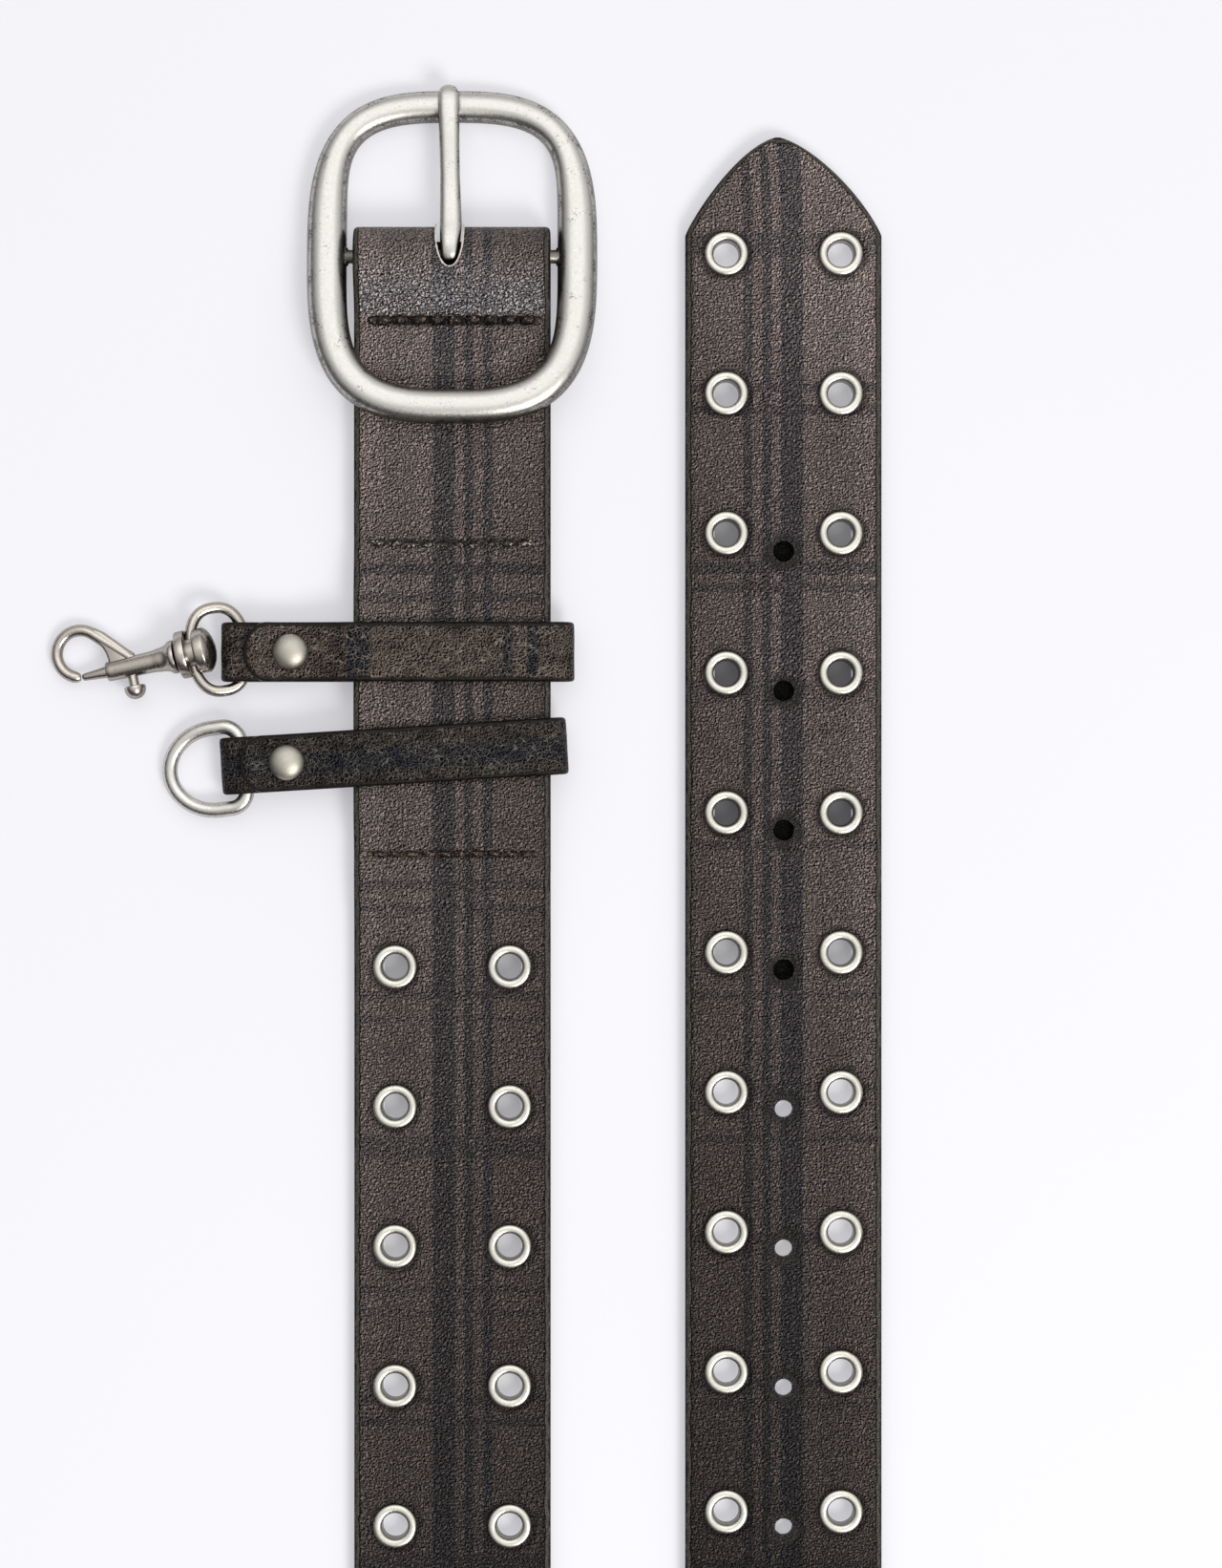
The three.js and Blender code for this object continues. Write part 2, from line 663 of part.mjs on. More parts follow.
// A pen that draws the middle line of a small strap in the plane of its length and height
function startLine(x, z) {
  const points = [{ x, z }];
  const last = () => points[points.length - 1];
  const pen = {
    points,
    to(nextX, nextZ) {
      points.push({ x: nextX, z: nextZ });
      return pen;
    },
    ease(nextX, nextZ, steps) {
      const { x: fromX, z: fromZ } = last();
      for (let i = 1; i <= steps; i++) {
        const part = i / steps;
        points.push({ x: THREE.MathUtils.lerp(fromX, nextX, part), z: eased(fromZ, nextZ, part) });
      }
      return pen;
    },
    arc(centreX, centreZ, fromAngle, toAngle, steps) {
      const { x: fromX, z: fromZ } = last();
      const radius = Math.hypot(fromX - centreX, fromZ - centreZ);
      for (let i = 1; i <= steps; i++) {
        const angle = THREE.MathUtils.lerp(fromAngle, toAngle, i / steps);
        points.push({ x: centreX + radius * Math.cos(angle), z: centreZ + radius * Math.sin(angle) });
      }
      return pen;
    },
  };
  return pen;
}

// Levels inside a small strap where its three layers lie on each other under the rivet
const smallHalf = SMALL_STRAP_THICKNESS / 2;
const rivetBottomLayer = RIVET_BACK_THICKNESS + GAP + smallHalf;
const layerStep = SMALL_STRAP_THICKNESS + LAYER_GAP;
const rivetMiddleLayer = rivetBottomLayer + layerStep;
const rivetTopLayer = rivetMiddleLayer + layerStep;

function wireHeight(wireRadius) {
  return SMALL_STRAP_FLOOR + SMALL_STRAP_THICKNESS + wireRadius + WIRE_ROOM;
}

// From the end under the rivet, round the ring's wire, through the pocket under the front
// layer, round the far edge of the belt, back over the front, to the rounded end on top
function smallStrapLine(strap) {
  const innerRadius = strap.wireRadius + WIRE_ROOM;
  const foldRadius = innerRadius + smallHalf;
  const foldZ = wireHeight(strap.wireRadius);
  const foldX = strap.foldX + SMALL_STRAP_THICKNESS + innerRadius;
  const lowRun = underTop + GAP + smallHalf;
  const highRun = pocketRoof + STRAP_THICKNESS + GAP + smallHalf;
  const wrapZ = (lowRun + highRun) / 2;
  const wrapX = strap.wrapX - smallHalf - (highRun - lowRun) / 2;
  const beltEdge = leftX - STRAP_WIDTH / 2;
  const headLeft = strap.rivetX - RIVET_HEAD_RADIUS;
  const middleLeft = headLeft - TOP_LAYER_SHIFT;
  const wireRight = strap.wireX + strap.wireRadius * 0.7;
  return startLine(RIVET_ZONE_RIGHT, rivetMiddleLayer)
    .to(middleLeft, rivetMiddleLayer)
    .ease(wireRight, foldZ + foldRadius, 6)
    .to(foldX, foldZ + foldRadius)
    .arc(foldX, foldZ, Math.PI / 2, 1.5 * Math.PI, 8)
    .to(wireRight, foldZ - foldRadius)
    .ease(middleLeft, rivetBottomLayer, 3)
    .to(RIVET_ZONE_RIGHT + 0.6, rivetBottomLayer)
    .ease(beltEdge - LOW_EDGE_CLEARANCE, lowRun, 3)
    .to(wrapX, lowRun)
    .arc(wrapX, wrapZ, -Math.PI / 2, Math.PI / 2, 8)
    .to(beltEdge - HIGH_EDGE_CLEARANCE, highRun)
    .ease(RIVET_ZONE_RIGHT, rivetTopLayer, 5)
    .to(headLeft, rivetTopLayer)
    .ease(wireRight + TOP_LAYER_SHIFT, foldZ + foldRadius + layerStep, 6)
    .to(strap.endX, foldZ + foldRadius + layerStep).points;
}

// Places a point that was drawn along a small strap at rest in the belt
function smallStrapPlace(strap) {
  return new THREE.Matrix4()
    .makeTranslation(SMALL_STRAP_PIVOT_X, strap.y, 0)
    .multiply(new THREE.Matrix4().makeRotationZ(strap.slope))
    .multiply(new THREE.Matrix4().makeTranslation(-SMALL_STRAP_PIVOT_X, 0, 0));
}

// Half width of a small strap, narrowed to a round end at its last stretch
function smallStrapHalfWidth(strap, toEnd) {
  const radius = strap.width / 2;
  const part = Math.min(toEnd / radius, 1);
  return Math.max(radius * Math.sqrt(1 - (1 - part) ** 2), 0.9);
}

function makeSmallStrap(strap) {
  const line = smallStrapLine(strap);
  const lengths = [0];
  for (let i = 1; i < line.length; i++) {
    lengths.push(lengths[i - 1] + Math.hypot(line[i].x - line[i - 1].x, line[i].z - line[i - 1].z));
  }
  const total = lengths[lengths.length - 1];
  const rings = line.map(({ x, z }, i) => {
    const before = line[Math.max(i - 1, 0)];
    const after = line[Math.min(i + 1, line.length - 1)];
    const normal = new THREE.Vector3(-(after.z - before.z), 0, after.x - before.x).normalize();
    const halfWidth = smallStrapHalfWidth(strap, total - lengths[i]);
    const middle = new THREE.Vector3(x, 0, z);
    const corners = [
      [halfWidth, smallHalf],
      [-halfWidth, smallHalf],
      [-halfWidth, -smallHalf],
      [halfWidth, -smallHalf],
    ];
    return corners.map(([w, t]) => middle.clone().addScaledVector(normal, t).setY(w));
  });
  const up = new THREE.Vector3(0, 0, 1);
  const rivetHole = hole(RIVET_POST_RADIUS + GAP, 30, 10, new THREE.Vector3(strap.rivetX, 0, 5), up);
  const body = geometryOf(cut(solidOf(skin(rings)), [rivetHole]));
  addPiece(strap.name + "_strap", body.applyMatrix4(smallStrapPlace(strap)), darkLeather);
}

// A rivet: a domed head, a post through the three layers, and a flat back
function makeRivet(strap) {
  const headStart = rivetTopLayer + smallHalf + GAP;
  const profile = [[0, 0], [RIVET_BACK_RADIUS, 0], [RIVET_BACK_RADIUS, RIVET_BACK_THICKNESS]];
  profile.push([RIVET_POST_RADIUS, RIVET_BACK_THICKNESS], [RIVET_POST_RADIUS, headStart]);
  const domeSteps = 3;
  for (let i = 0; i < domeSteps; i++) {
    const angle = (Math.PI / 2) * (i / domeSteps);
    const height = headStart + RIVET_HEAD_HEIGHT * Math.sin(angle);
    profile.push([RIVET_HEAD_RADIUS * Math.cos(angle), height]);
  }
  profile.push([0, headStart + RIVET_HEAD_HEIGHT]);
  const geometry = turned(profile, 14).rotateX(Math.PI / 2).translate(strap.rivetX, 0, 0);
  addPiece(strap.name + "_rivet", geometry.applyMatrix4(smallStrapPlace(strap)), satinNickel);
}

// A closed wire ring: points along its middle line, with a round section of few sides
function wireRing(points, radius, sides, planeNormal) {
  const rings = points.map((point, i) => {
    const before = points[(i + points.length - 1) % points.length];
    const after = points[(i + 1) % points.length];
    const outward = after.clone().sub(before).cross(planeNormal).normalize();
    const ring = [];
    for (let j = 0; j < sides; j++) {
      const angle = (2 * Math.PI * (j + 0.5)) / sides;
      const place = point.clone().addScaledVector(outward, radius * Math.cos(angle));
      ring.push(place.addScaledVector(planeNormal, radius * Math.sin(angle)));
    }
    return ring;
  });
  return skin(rings, true);
}

// The oval ring slopes down from the swivel into the small strap's fold
function makeOvalRing() {
  const points = [];
  const steps = 28;
  for (let i = 0; i < steps; i++) {
    const angle = (2 * Math.PI * i) / steps;
    const distance = oblong(OVAL_HALF_WIDTH, OVAL_HALF_LENGTH, OVAL_POWER, angle);
    points.push(new THREE.Vector3(distance * Math.cos(angle), distance * Math.sin(angle), 0));
  }
  const foldZ = wireHeight(OVAL_WIRE_RADIUS);
  const slope = Math.asin((DRUM_HEIGHT - foldZ) / (2 * OVAL_HALF_WIDTH));
  const ring = wireRing(points, OVAL_WIRE_RADIUS, 6, new THREE.Vector3(0, 0, 1));
  ring.rotateY(slope).rotateZ(OVAL_LEAN);
  ring.translate(OVAL_CENTRE.x, OVAL_CENTRE.y, (DRUM_HEIGHT + foldZ) / 2);
  addPiece("oval_ring", ring, satinNickel);
}

// The D-ring: a straight side, two corners, two arms and a bow, sloping down to the table
function makeDRing(strap) {
  const points = [];
  const half = D_BOW_RADIUS;
  const bowSteps = 14;
  const cornerSteps = 4;
  const cornerCentre = half - D_CORNER_RADIUS;
  for (let i = 0; i <= bowSteps; i++) {
    const angle = Math.PI / 2 + (Math.PI * i) / bowSteps;
    points.push(new THREE.Vector3(-D_DEPTH + half * Math.cos(angle), half * Math.sin(angle), 0));
  }
  for (const side of [-1, 1]) {
    for (let i = 0; i <= cornerSteps; i++) {
      const angle = ((side < 0 ? i - cornerSteps : i) * Math.PI) / (2 * cornerSteps);
      const x = -D_CORNER_RADIUS + D_CORNER_RADIUS * Math.cos(angle);
      points.push(new THREE.Vector3(x, side * cornerCentre + D_CORNER_RADIUS * Math.sin(angle), 0));
    }
  }
  const foldZ = wireHeight(D_WIRE_RADIUS);
  const slope = Math.asin((foldZ - D_REST_HEIGHT) / (D_DEPTH + half));
  const ring = wireRing(points, D_WIRE_RADIUS, 6, new THREE.Vector3(0, 0, 1));
  ring.rotateY(-slope).translate(strap.wireX, 0, foldZ);
  addPiece("d_ring", ring.applyMatrix4(smallStrapPlace(strap)), satinNickel);
}

// The snap hook's own directions: u along its axis, v to the side of its loop, w up
function hookPlace(roll) {
  const middleOfGroove = (DRUM_GROOVE_START + DRUM_GROOVE_END) / 2;
  const startZ = DRUM_HEIGHT - middleOfGroove * Math.sin(HOOK_RISE);
  return new THREE.Matrix4()
    .makeTranslation(HOOK_START.x, HOOK_START.y, startZ)
    .multiply(new THREE.Matrix4().makeRotationZ(HOOK_HEADING))
    .multiply(new THREE.Matrix4().makeRotationY(-HOOK_RISE))
    .multiply(new THREE.Matrix4().makeRotationX(roll));
}

// A turned solid along u
function turnedAlongU(profile, sides) {
  return turned(profile, sides).rotateZ(-Math.PI / 2);
}

// The drum: two flanges joined by two arms, open between them for the ring
function makeSwivelDrum() {
  const nearFlange = turnedAlongU(
    [
      [0, DRUM_START],
      [DRUM_FLANGE_RADIUS - 0.5, DRUM_START],
      [DRUM_FLANGE_RADIUS, DRUM_START + 0.5],
      [DRUM_FLANGE_RADIUS, DRUM_GROOVE_START - DRUM_EDGE],
      [DRUM_FLANGE_RADIUS - DRUM_EDGE, DRUM_GROOVE_START],
      [0, DRUM_GROOVE_START],
    ],
    16,
  );
  const farFlange = turnedAlongU(
    [
      [0, DRUM_GROOVE_END],
      [DRUM_END_RADIUS - DRUM_EDGE, DRUM_GROOVE_END],
      [DRUM_END_RADIUS, DRUM_GROOVE_END + DRUM_EDGE],
      [DRUM_END_RADIUS, DRUM_RIM_END],
      [DRUM_END_RADIUS * 0.75, DRUM_RIM_END + 0.9],
      [DRUM_END_RADIUS * 0.4, DRUM_END - 0.1],
      [0, DRUM_END],
    ],
    16,
  );
  const armLength = DRUM_GROOVE_END - DRUM_GROOVE_START + 1;
  const arms = [-1, 1].map((side) => {
    const arm = new THREE.BoxGeometry(armLength, DRUM_ARM_WIDTH, DRUM_ARM_OUTER - DRUM_ARM_INNER);
    const middle = (DRUM_GROOVE_START + DRUM_GROOVE_END) / 2;
    return arm.translate(middle, 0, (side * (DRUM_ARM_OUTER + DRUM_ARM_INNER)) / 2);
  });
  const along = new THREE.Vector3(1, 0, 0);
  const neckHole = hole(SWIVEL_NECK_RADIUS + GAP, 6, 12, new THREE.Vector3(DRUM_START, 0, 0), along);
  const sinkDepth = DRUM_GROOVE_START - SWIVEL_HEAD_START + GAP;
  const sinkCentre = new THREE.Vector3(DRUM_GROOVE_START - sinkDepth / 2 + 0.5, 0, 0);
  const headHole = hole(SWIVEL_HEAD_RADIUS + GAP, sinkDepth + 1, 12, sinkCentre, along);
  const body = cut(joined([nearFlange, farFlange, ...arms]), [neckHole, headHole]);
  addPiece("swivel_drum", geometryOf(body).applyMatrix4(hookPlace(0)), satinNickel);
}

// The curve of the hook's wire: round the loop from its tip, then straight down the spine
class HookWire extends THREE.Curve {
  getPoint(part, target = new THREE.Vector3()) {
    const sweep = LOOP_TIP_ANGLE - SPINE_ANGLE;
    const arcLength = LOOP_RADIUS * sweep;
    const distance = part * (arcLength + SPINE_LENGTH);
    const angle = LOOP_TIP_ANGLE - Math.min(distance / LOOP_RADIUS, sweep);
    const onward = Math.max(distance - arcLength, 0);
    const u = LOOP_CENTRE.u + LOOP_RADIUS * Math.cos(angle) + onward * Math.sin(SPINE_ANGLE);
    const v = LOOP_CENTRE.v + LOOP_RADIUS * Math.sin(angle) - onward * Math.cos(SPINE_ANGLE);
    return target.set(u, v, 0);
  }
}

function roundSection(radius, sides) {
  const points = [];
  for (let i = 0; i < sides; i++) {
    const angle = (2 * Math.PI * (i + 0.5)) / sides;
    points.push(new THREE.Vector2(radius * Math.cos(angle), radius * Math.sin(angle)));
  }
  return new THREE.Shape(points);
}

function makeHookBody() {
  const barrel = turnedAlongU(
    [
      [0, 0],
      [BARREL_RADIUS - 0.1, 0],
      [BARREL_RADIUS, BARREL_LENGTH],
      [FLARE_END_RADIUS, FLARE_END - 0.6],
      [FLARE_END_RADIUS, FLARE_END],
      [SWIVEL_NECK_RADIUS, FLARE_END],
      [SWIVEL_NECK_RADIUS, SWIVEL_HEAD_START],
      [SWIVEL_HEAD_RADIUS, SWIVEL_HEAD_START],
      [SWIVEL_HEAD_RADIUS, SWIVEL_HEAD_END],
      [0, SWIVEL_HEAD_END],
    ],
    14,
  );
  const wire = new THREE.ExtrudeGeometry(roundSection(LOOP_WIRE_RADIUS, 6), {
    steps: 22,
    extrudePath: new HookWire(),
  });
  const outline = new THREE.Shape(WEB_OUTLINE.map(({ u, v }) => new THREE.Vector2(u, v)));
  const web = new THREE.ExtrudeGeometry(outline, { depth: WEB_THICKNESS, bevelEnabled: false });
  web.translate(0, 0, -WEB_THICKNESS / 2);
  const along = new THREE.Vector3(1, 0, 0);
  const boreRadius = BOLT_RADIUS + GAP;
  const boreEnd = BOLT_END_U + BOLT_TRAVEL + GAP;
  const bore = hole(boreRadius, boreEnd + 2, 12, new THREE.Vector3(boreEnd / 2 - 1, 0, 0), along);
  const slotStart = STEM_U - STEM_RADIUS - GAP;
  const slotEnd = STEM_U + STEM_RADIUS + BOLT_TRAVEL + GAP;
  const slot = new THREE.BoxGeometry(slotEnd - slotStart, 4, 2 * (STEM_RADIUS + GAP));
  slot.translate((slotStart + slotEnd) / 2, -2, 0);
  const body = cut(joined([barrel, wire, web]), [bore, slot]);
  addPiece("hook_body", geometryOf(body).applyMatrix4(hookPlace(HOOK_ROLL)), satinNickel);
}

// The bolt that closes the loop, moved by a knob on a stem
function makeHookBolt() {
  const bolt = turnedAlongU(
    [
      [0, BOLT_TIP_U],
      [BOLT_TIP_RADIUS, BOLT_TIP_U],
      [BOLT_RADIUS, -0.5],
      [BOLT_RADIUS, BOLT_END_U],
      [0, BOLT_END_U],
    ],
    12,
  );
  const stemAndKnob = turned(
    [
      [0, 0],
      [STEM_RADIUS * 0.8, 0],
      [STEM_RADIUS, 4.2],
      [KNOB_RADIUS - 0.3, 4.2],
      [KNOB_RADIUS, 4.7],
      [KNOB_RADIUS * 0.86, 5.7],
      [KNOB_RADIUS * 0.5, 6.45],
      [0, 6.7],
    ],
    14,
  );
  stemAndKnob.rotateZ(Math.PI).translate(STEM_U, 0, 0);
  const body = joined([bolt, stemAndKnob]);
  addPiece("hook_bolt", geometryOf(body).applyMatrix4(hookPlace(HOOK_ROLL)), satinNickel);
}

makeStrap();
makeEyelets();
makeBuckleFrame();
makeBuckleBar();
makeProng();
SMALL_STRAPS.forEach(makeSmallStrap);
SMALL_STRAPS.forEach(makeRivet);
makeOvalRing();
makeDRing(SMALL_STRAPS[1]);
makeSwivelDrum();
makeHookBody();
makeHookBolt();

// The origin goes under the middle of the belt's box
const box = new THREE.Box3().setFromObject(belt);
const middle = box.getCenter(new THREE.Vector3());
belt.position.set(-middle.x, -middle.y, -box.min.z);

export default belt;
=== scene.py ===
"""A studded belt of printed leather, dressed for a picture taken from straight above."""
import math
import random
from functools import partial

import bmesh
import bpy
from bpy.props import FloatProperty, FloatVectorProperty, PointerProperty
from mathutils import Matrix, Vector, noise


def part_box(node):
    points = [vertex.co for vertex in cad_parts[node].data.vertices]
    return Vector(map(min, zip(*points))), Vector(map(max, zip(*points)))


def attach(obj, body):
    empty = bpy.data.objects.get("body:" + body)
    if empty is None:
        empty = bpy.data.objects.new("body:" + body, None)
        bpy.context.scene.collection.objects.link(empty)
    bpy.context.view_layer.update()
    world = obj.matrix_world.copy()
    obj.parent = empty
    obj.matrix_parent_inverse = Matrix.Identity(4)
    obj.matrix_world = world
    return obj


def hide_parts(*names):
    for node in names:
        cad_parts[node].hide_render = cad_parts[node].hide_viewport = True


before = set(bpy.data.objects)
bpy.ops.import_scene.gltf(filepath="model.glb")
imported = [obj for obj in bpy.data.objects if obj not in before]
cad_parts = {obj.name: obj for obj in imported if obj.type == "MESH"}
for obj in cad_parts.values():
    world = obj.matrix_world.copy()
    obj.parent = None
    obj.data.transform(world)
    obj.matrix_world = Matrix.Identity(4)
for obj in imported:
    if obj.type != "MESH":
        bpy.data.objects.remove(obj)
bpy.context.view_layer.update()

bl_info = {
    "name": "Studded belt",
    "version": (1, 0, 0),
    "blender": (4, 5, 0),
    "location": "View3D > Sidebar > Belt",
    "description": "Builds a studded leather belt with its buckle, side straps, snap hook and stage",
    "category": "Add Mesh",
}

# Sizes here are in millimetres, measured from the fold of the strap, where y is 0, and from
# the line midway between the two strands, where x is 0. HOME carries them into the part's frame.
MM = 0.001
UP = Vector((0, 0, 1))
LEFT_X = -33.7
FOLD_Y = -5.3
FOLD_Z = 4.7
FOLD_INNER = 2.9
FOLD_OUTER = 5.9
BAR = Vector((LEFT_X, -6.0, FOLD_Z))
bar_low, bar_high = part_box("buckle_bar")
HOME = (Vector(bar_low) + Vector(bar_high)) / (2 * MM) - BAR

# The strap and its route: it lies STRAP_LIFT above the floor, and FRONT_LENGTH is how much of
# it lies on the folded layer and the small straps
STRAP_LENGTH = 1055.12
STRAP_HALF = 20.0
STRAP_LIFT = 0.8
TIP_Y = 18.5
TIP_LENGTH = 21.0
TIP_TAPER = 20.0
FLARE_RADIUS = 150.0
FLARE_ANGLE = math.radians(20)
ROLL_LENGTH = 147.5
UNDER_LENGTH = 131.0
FRONT_LENGTH = 145.0

# Its holes: THROUGH is the floor of one that is open, from the middle of the strap's thickness,
# and the punched ones are ragged by up to RAGGED
FIRST_ROW = 150.3
ROW_PITCH = 28.42
ROW_COUNT = 32
EYELET_SPREAD = 11.65
HOLE_RADIUS = 3.2
CUT_DEPTH = 8.0
THROUGH = -CUT_DEPTH / 2
RAGGED = 0.14 * MM
FIRST_PUNCH = 84.3
PUNCH_PITCH = 28.35
PUNCH_COUNT = 8
# The punched holes nearest the tip stop short of the back: their dark floor is painted shade
SHADED_PUNCHES = 4

# The buckle, whose frame leans on the strap
FRAME_TILT = math.radians(5.9)
FRAME_HALF_WIDTH = 29.5
FRAME_HALF_LENGTH = 34.3
FRAME_DOME = 2.9
WINDOW_HALF_WIDTH = 21.4
WINDOW_ABOVE = 27.8
WINDOW_BELOW = 27.2
BAR_HALF = 23.5
BAR_RADIUS = 1.4
PRONG_X = LEFT_X - 0.4
SLOT_HALF = 2.86
SLOT_LENGTH = 8.5

# Underside of the front layer, as y and height: it comes down to the first row of stitches,
# rises over the small straps, and comes down again past the end of the layer below
FRONT_HEIGHTS = (
    (-6.1, 7.6), (-18.2, 2.1), (-64.0, 2.1), (-76.5, 4.2),
    (-117.0, 4.2), (-127.0, 2.1), (-130.5, 2.1), (-144.5, 0.8),
)
STITCH_ROWS = (
    {"y": -18.9, "left": -15.8, "right": 17.2, "count": 9, "radius": 0.8, "bow": 0.0},
    {"y": -64.1, "left": -16.4, "right": 16.0, "count": 10, "radius": 0.52, "bow": 0.5},
    {"y": -127.3, "left": -16.6, "right": 17.0, "count": 10, "radius": 0.5, "bow": 0.0},
)

# Printed check: each stripe's middle, half its width and its depth of ink. The long ones go by
# their offset from the strap's middle line, the others by distance from the fold or the tip
LONG_STRIPES = (
    (-1.7, 2.25, 0.85), (3.4, 0.9, 0.8), (7.25, 0.95, 0.75), (-10.8, 3.3, 0.2), (19.4, 1.4, 0.35),
)
FOLD_STRIPES = (
    (70.2, 1.15, 0.75), (75.6, 0.8, 0.6), (105.0, 2.2, 0.6), (133.3, 0.9, 0.5), (138.1, 0.8, 0.5),
    (156.2, 0.9, 0.5), (160.9, 0.6, 0.4), (187.0, 2.2, 0.5), (215.8, 0.8, 0.45), (220.7, 0.7, 0.4),
    (238.1, 0.9, 0.55), (242.8, 0.9, 0.55),
)
TIP_STRIPES = (
    (21.9, 2.3, 0.6), (51.0, 1.0, 0.6), (55.5, 1.0, 0.65), (87.7, 1.3, 0.65), (91.7, 0.9, 0.6),
    (113.0, 2.6, 0.3), (144.0, 0.9, 0.5), (174.7, 0.8, 0.5), (193.4, 0.8, 0.5), (203.8, 0.8, 0.5),
    (224.0, 1.2, 0.5), (253.4, 0.8, 0.6), (257.8, 0.7, 0.4),
)
HIDDEN_STRIPE_PITCH = 29.0

# The two small straps: where their middle crosses PIVOT_X, their slope, and their fold, wrap,
# rounded end, ring wire and rivet
SMALL_STRAPS = (
    {
        "name": "hook", "y": -86.3, "slope": 0.0, "width": 12.1, "fold_x": -80.7, "wrap_x": -8.8,
        "end_x": -75.7, "wire_x": -75.5, "wire_radius": 1.15, "rivet_x": -66.4,
    },
    {
        "name": "ring", "y": -107.4, "slope": math.radians(3.5), "width": 11.6, "fold_x": -80.8,
        "wrap_x": -10.2, "end_x": -76.4, "wire_x": -76.2, "wire_radius": 1.4, "rivet_x": -67.2,
    },
)
PIVOT_X = -45.0
RIVET_RIGHT = -60.8
HOOK_X = -103.9
HOOK_Y = -90.3
HOOK_HEADING = math.radians(12.4)
HOOK_RISE = math.radians(7.6)
HOOK_ROLL = math.radians(-4)
DRUM_HEIGHT = 5.25
GROOVE_MIDDLE = 17.875


class BeltLeather(bpy.types.PropertyGroup):
    width: FloatProperty(
        name="Strap width", description="Width of the main strap", default=0.040, unit="LENGTH")
    thickness: FloatProperty(
        name="Strap thickness", description="Thickness of the front layer", default=0.003, unit="LENGTH")
    under_thickness: FloatProperty(
        name="Folded thickness", description="Thickness of the layer folded back", default=0.0018,
        unit="LENGTH")
    small_thickness: FloatProperty(
        name="Small strap thickness", description="Thickness of the small straps", default=0.0018,
        unit="LENGTH")
    grain: FloatProperty(
        name="Grain", description="Width of one pebble of the leather's grain", default=0.00105,
        unit="LENGTH")


class BeltMetal(bpy.types.PropertyGroup):
    eyelet_radius: FloatProperty(
        name="Eyelet radius", description="Outer radius of an eyelet's flange", default=0.0045,
        unit="LENGTH")
    eyelet_hole: FloatProperty(
        name="Eyelet hole", description="Radius of the hole through an eyelet", default=0.00277,
        unit="LENGTH")
    rivet_radius: FloatProperty(
        name="Rivet radius", description="Radius of a rivet's domed head", default=0.0037,
        unit="LENGTH")


class BeltColours(bpy.types.PropertyGroup):
    leather: FloatVectorProperty(
        name="Leather", description="Ground colour of the printed leather", subtype="COLOR",
        default=(0.172, 0.138, 0.128))
    check: FloatVectorProperty(
        name="Check", description="Colour of the printed stripes", subtype="COLOR",
        default=(0.030, 0.034, 0.044))


def linear(code):
    """Turns a hex colour, as it is seen on a screen, into the linear one that a shader takes."""
    values = [int(code[i:i + 2], 16) / 255 for i in (1, 3, 5)]
    return [v / 12.92 if v <= 0.04045 else ((v + 0.055) / 1.055) ** 2.4 for v in values] + [1.0]


def smoothstep(value, low, high):
    """Goes smoothly from 0 to 1 as a value goes from low to high."""
    part = min(max((value - low) / (high - low), 0.0), 1.0)
    return part * part * (3 - 2 * part)


def mix(a, b, part):
    """Goes evenly from a to b."""
    return a + (b - a) * part


def full_turn(count, shift=0.0):
    """Angles evenly spaced over a full turn."""
    return [2 * math.pi * (i + shift) / count for i in range(count)]


def round_ring(centre, first, second, count):
    """Points round an ellipse with the given half axes."""
    return [centre + first * math.cos(angle) + second * math.sin(angle) for angle in full_turn(count)]


def add_node(tree, kind, inputs=(), out=0, **settings):
    """Adds a node with its settings and links, and gives the output that is asked for.

    Map Range has its value at socket 0, its range at 1 and 2, and the new range at 3 and 4.
    Mix has its factor at 0, its numbers at 2 and 3, and its colours at 6 and 7."""
    node = tree.nodes.new("ShaderNode" + kind)
    for name, value in settings.items():
        setattr(node, name, value)
    for name, value in (inputs.items() if isinstance(inputs, dict) else enumerate(inputs)):
        if isinstance(value, bpy.types.NodeSocket):
            tree.links.new(value, node.inputs[name])
        else:
            node.inputs[name].default_value = value
    return node.outputs[out]


def new_material(name, **shader_values):
    """A material, the function that adds a node to it, and its shader with its even values set."""
    material = bpy.data.materials.new(name)
    material.use_nodes = True
    shader = material.node_tree.nodes["Principled BSDF"]
    for label, value in shader_values.items():
        shader.inputs[label.replace("_", " ")].default_value = value
    return material, partial(add_node, material.node_tree), shader


def plug(shader, **values):
    """Links outputs to the shader's sockets of those names."""
    for label, value in values.items():
        shader.id_data.links.new(value, shader.inputs[label.replace("_", " ")])


def faces_of(verts):
    """All faces that touch some vertices, in an order that is the same each run."""
    return list(dict.fromkeys(face for vert in verts for face in vert.link_faces))


def edges_of(verts):
    """All edges that touch some vertices, in an order that is the same each run."""
    return list(dict.fromkeys(edge for vert in verts for edge in vert.link_edges))


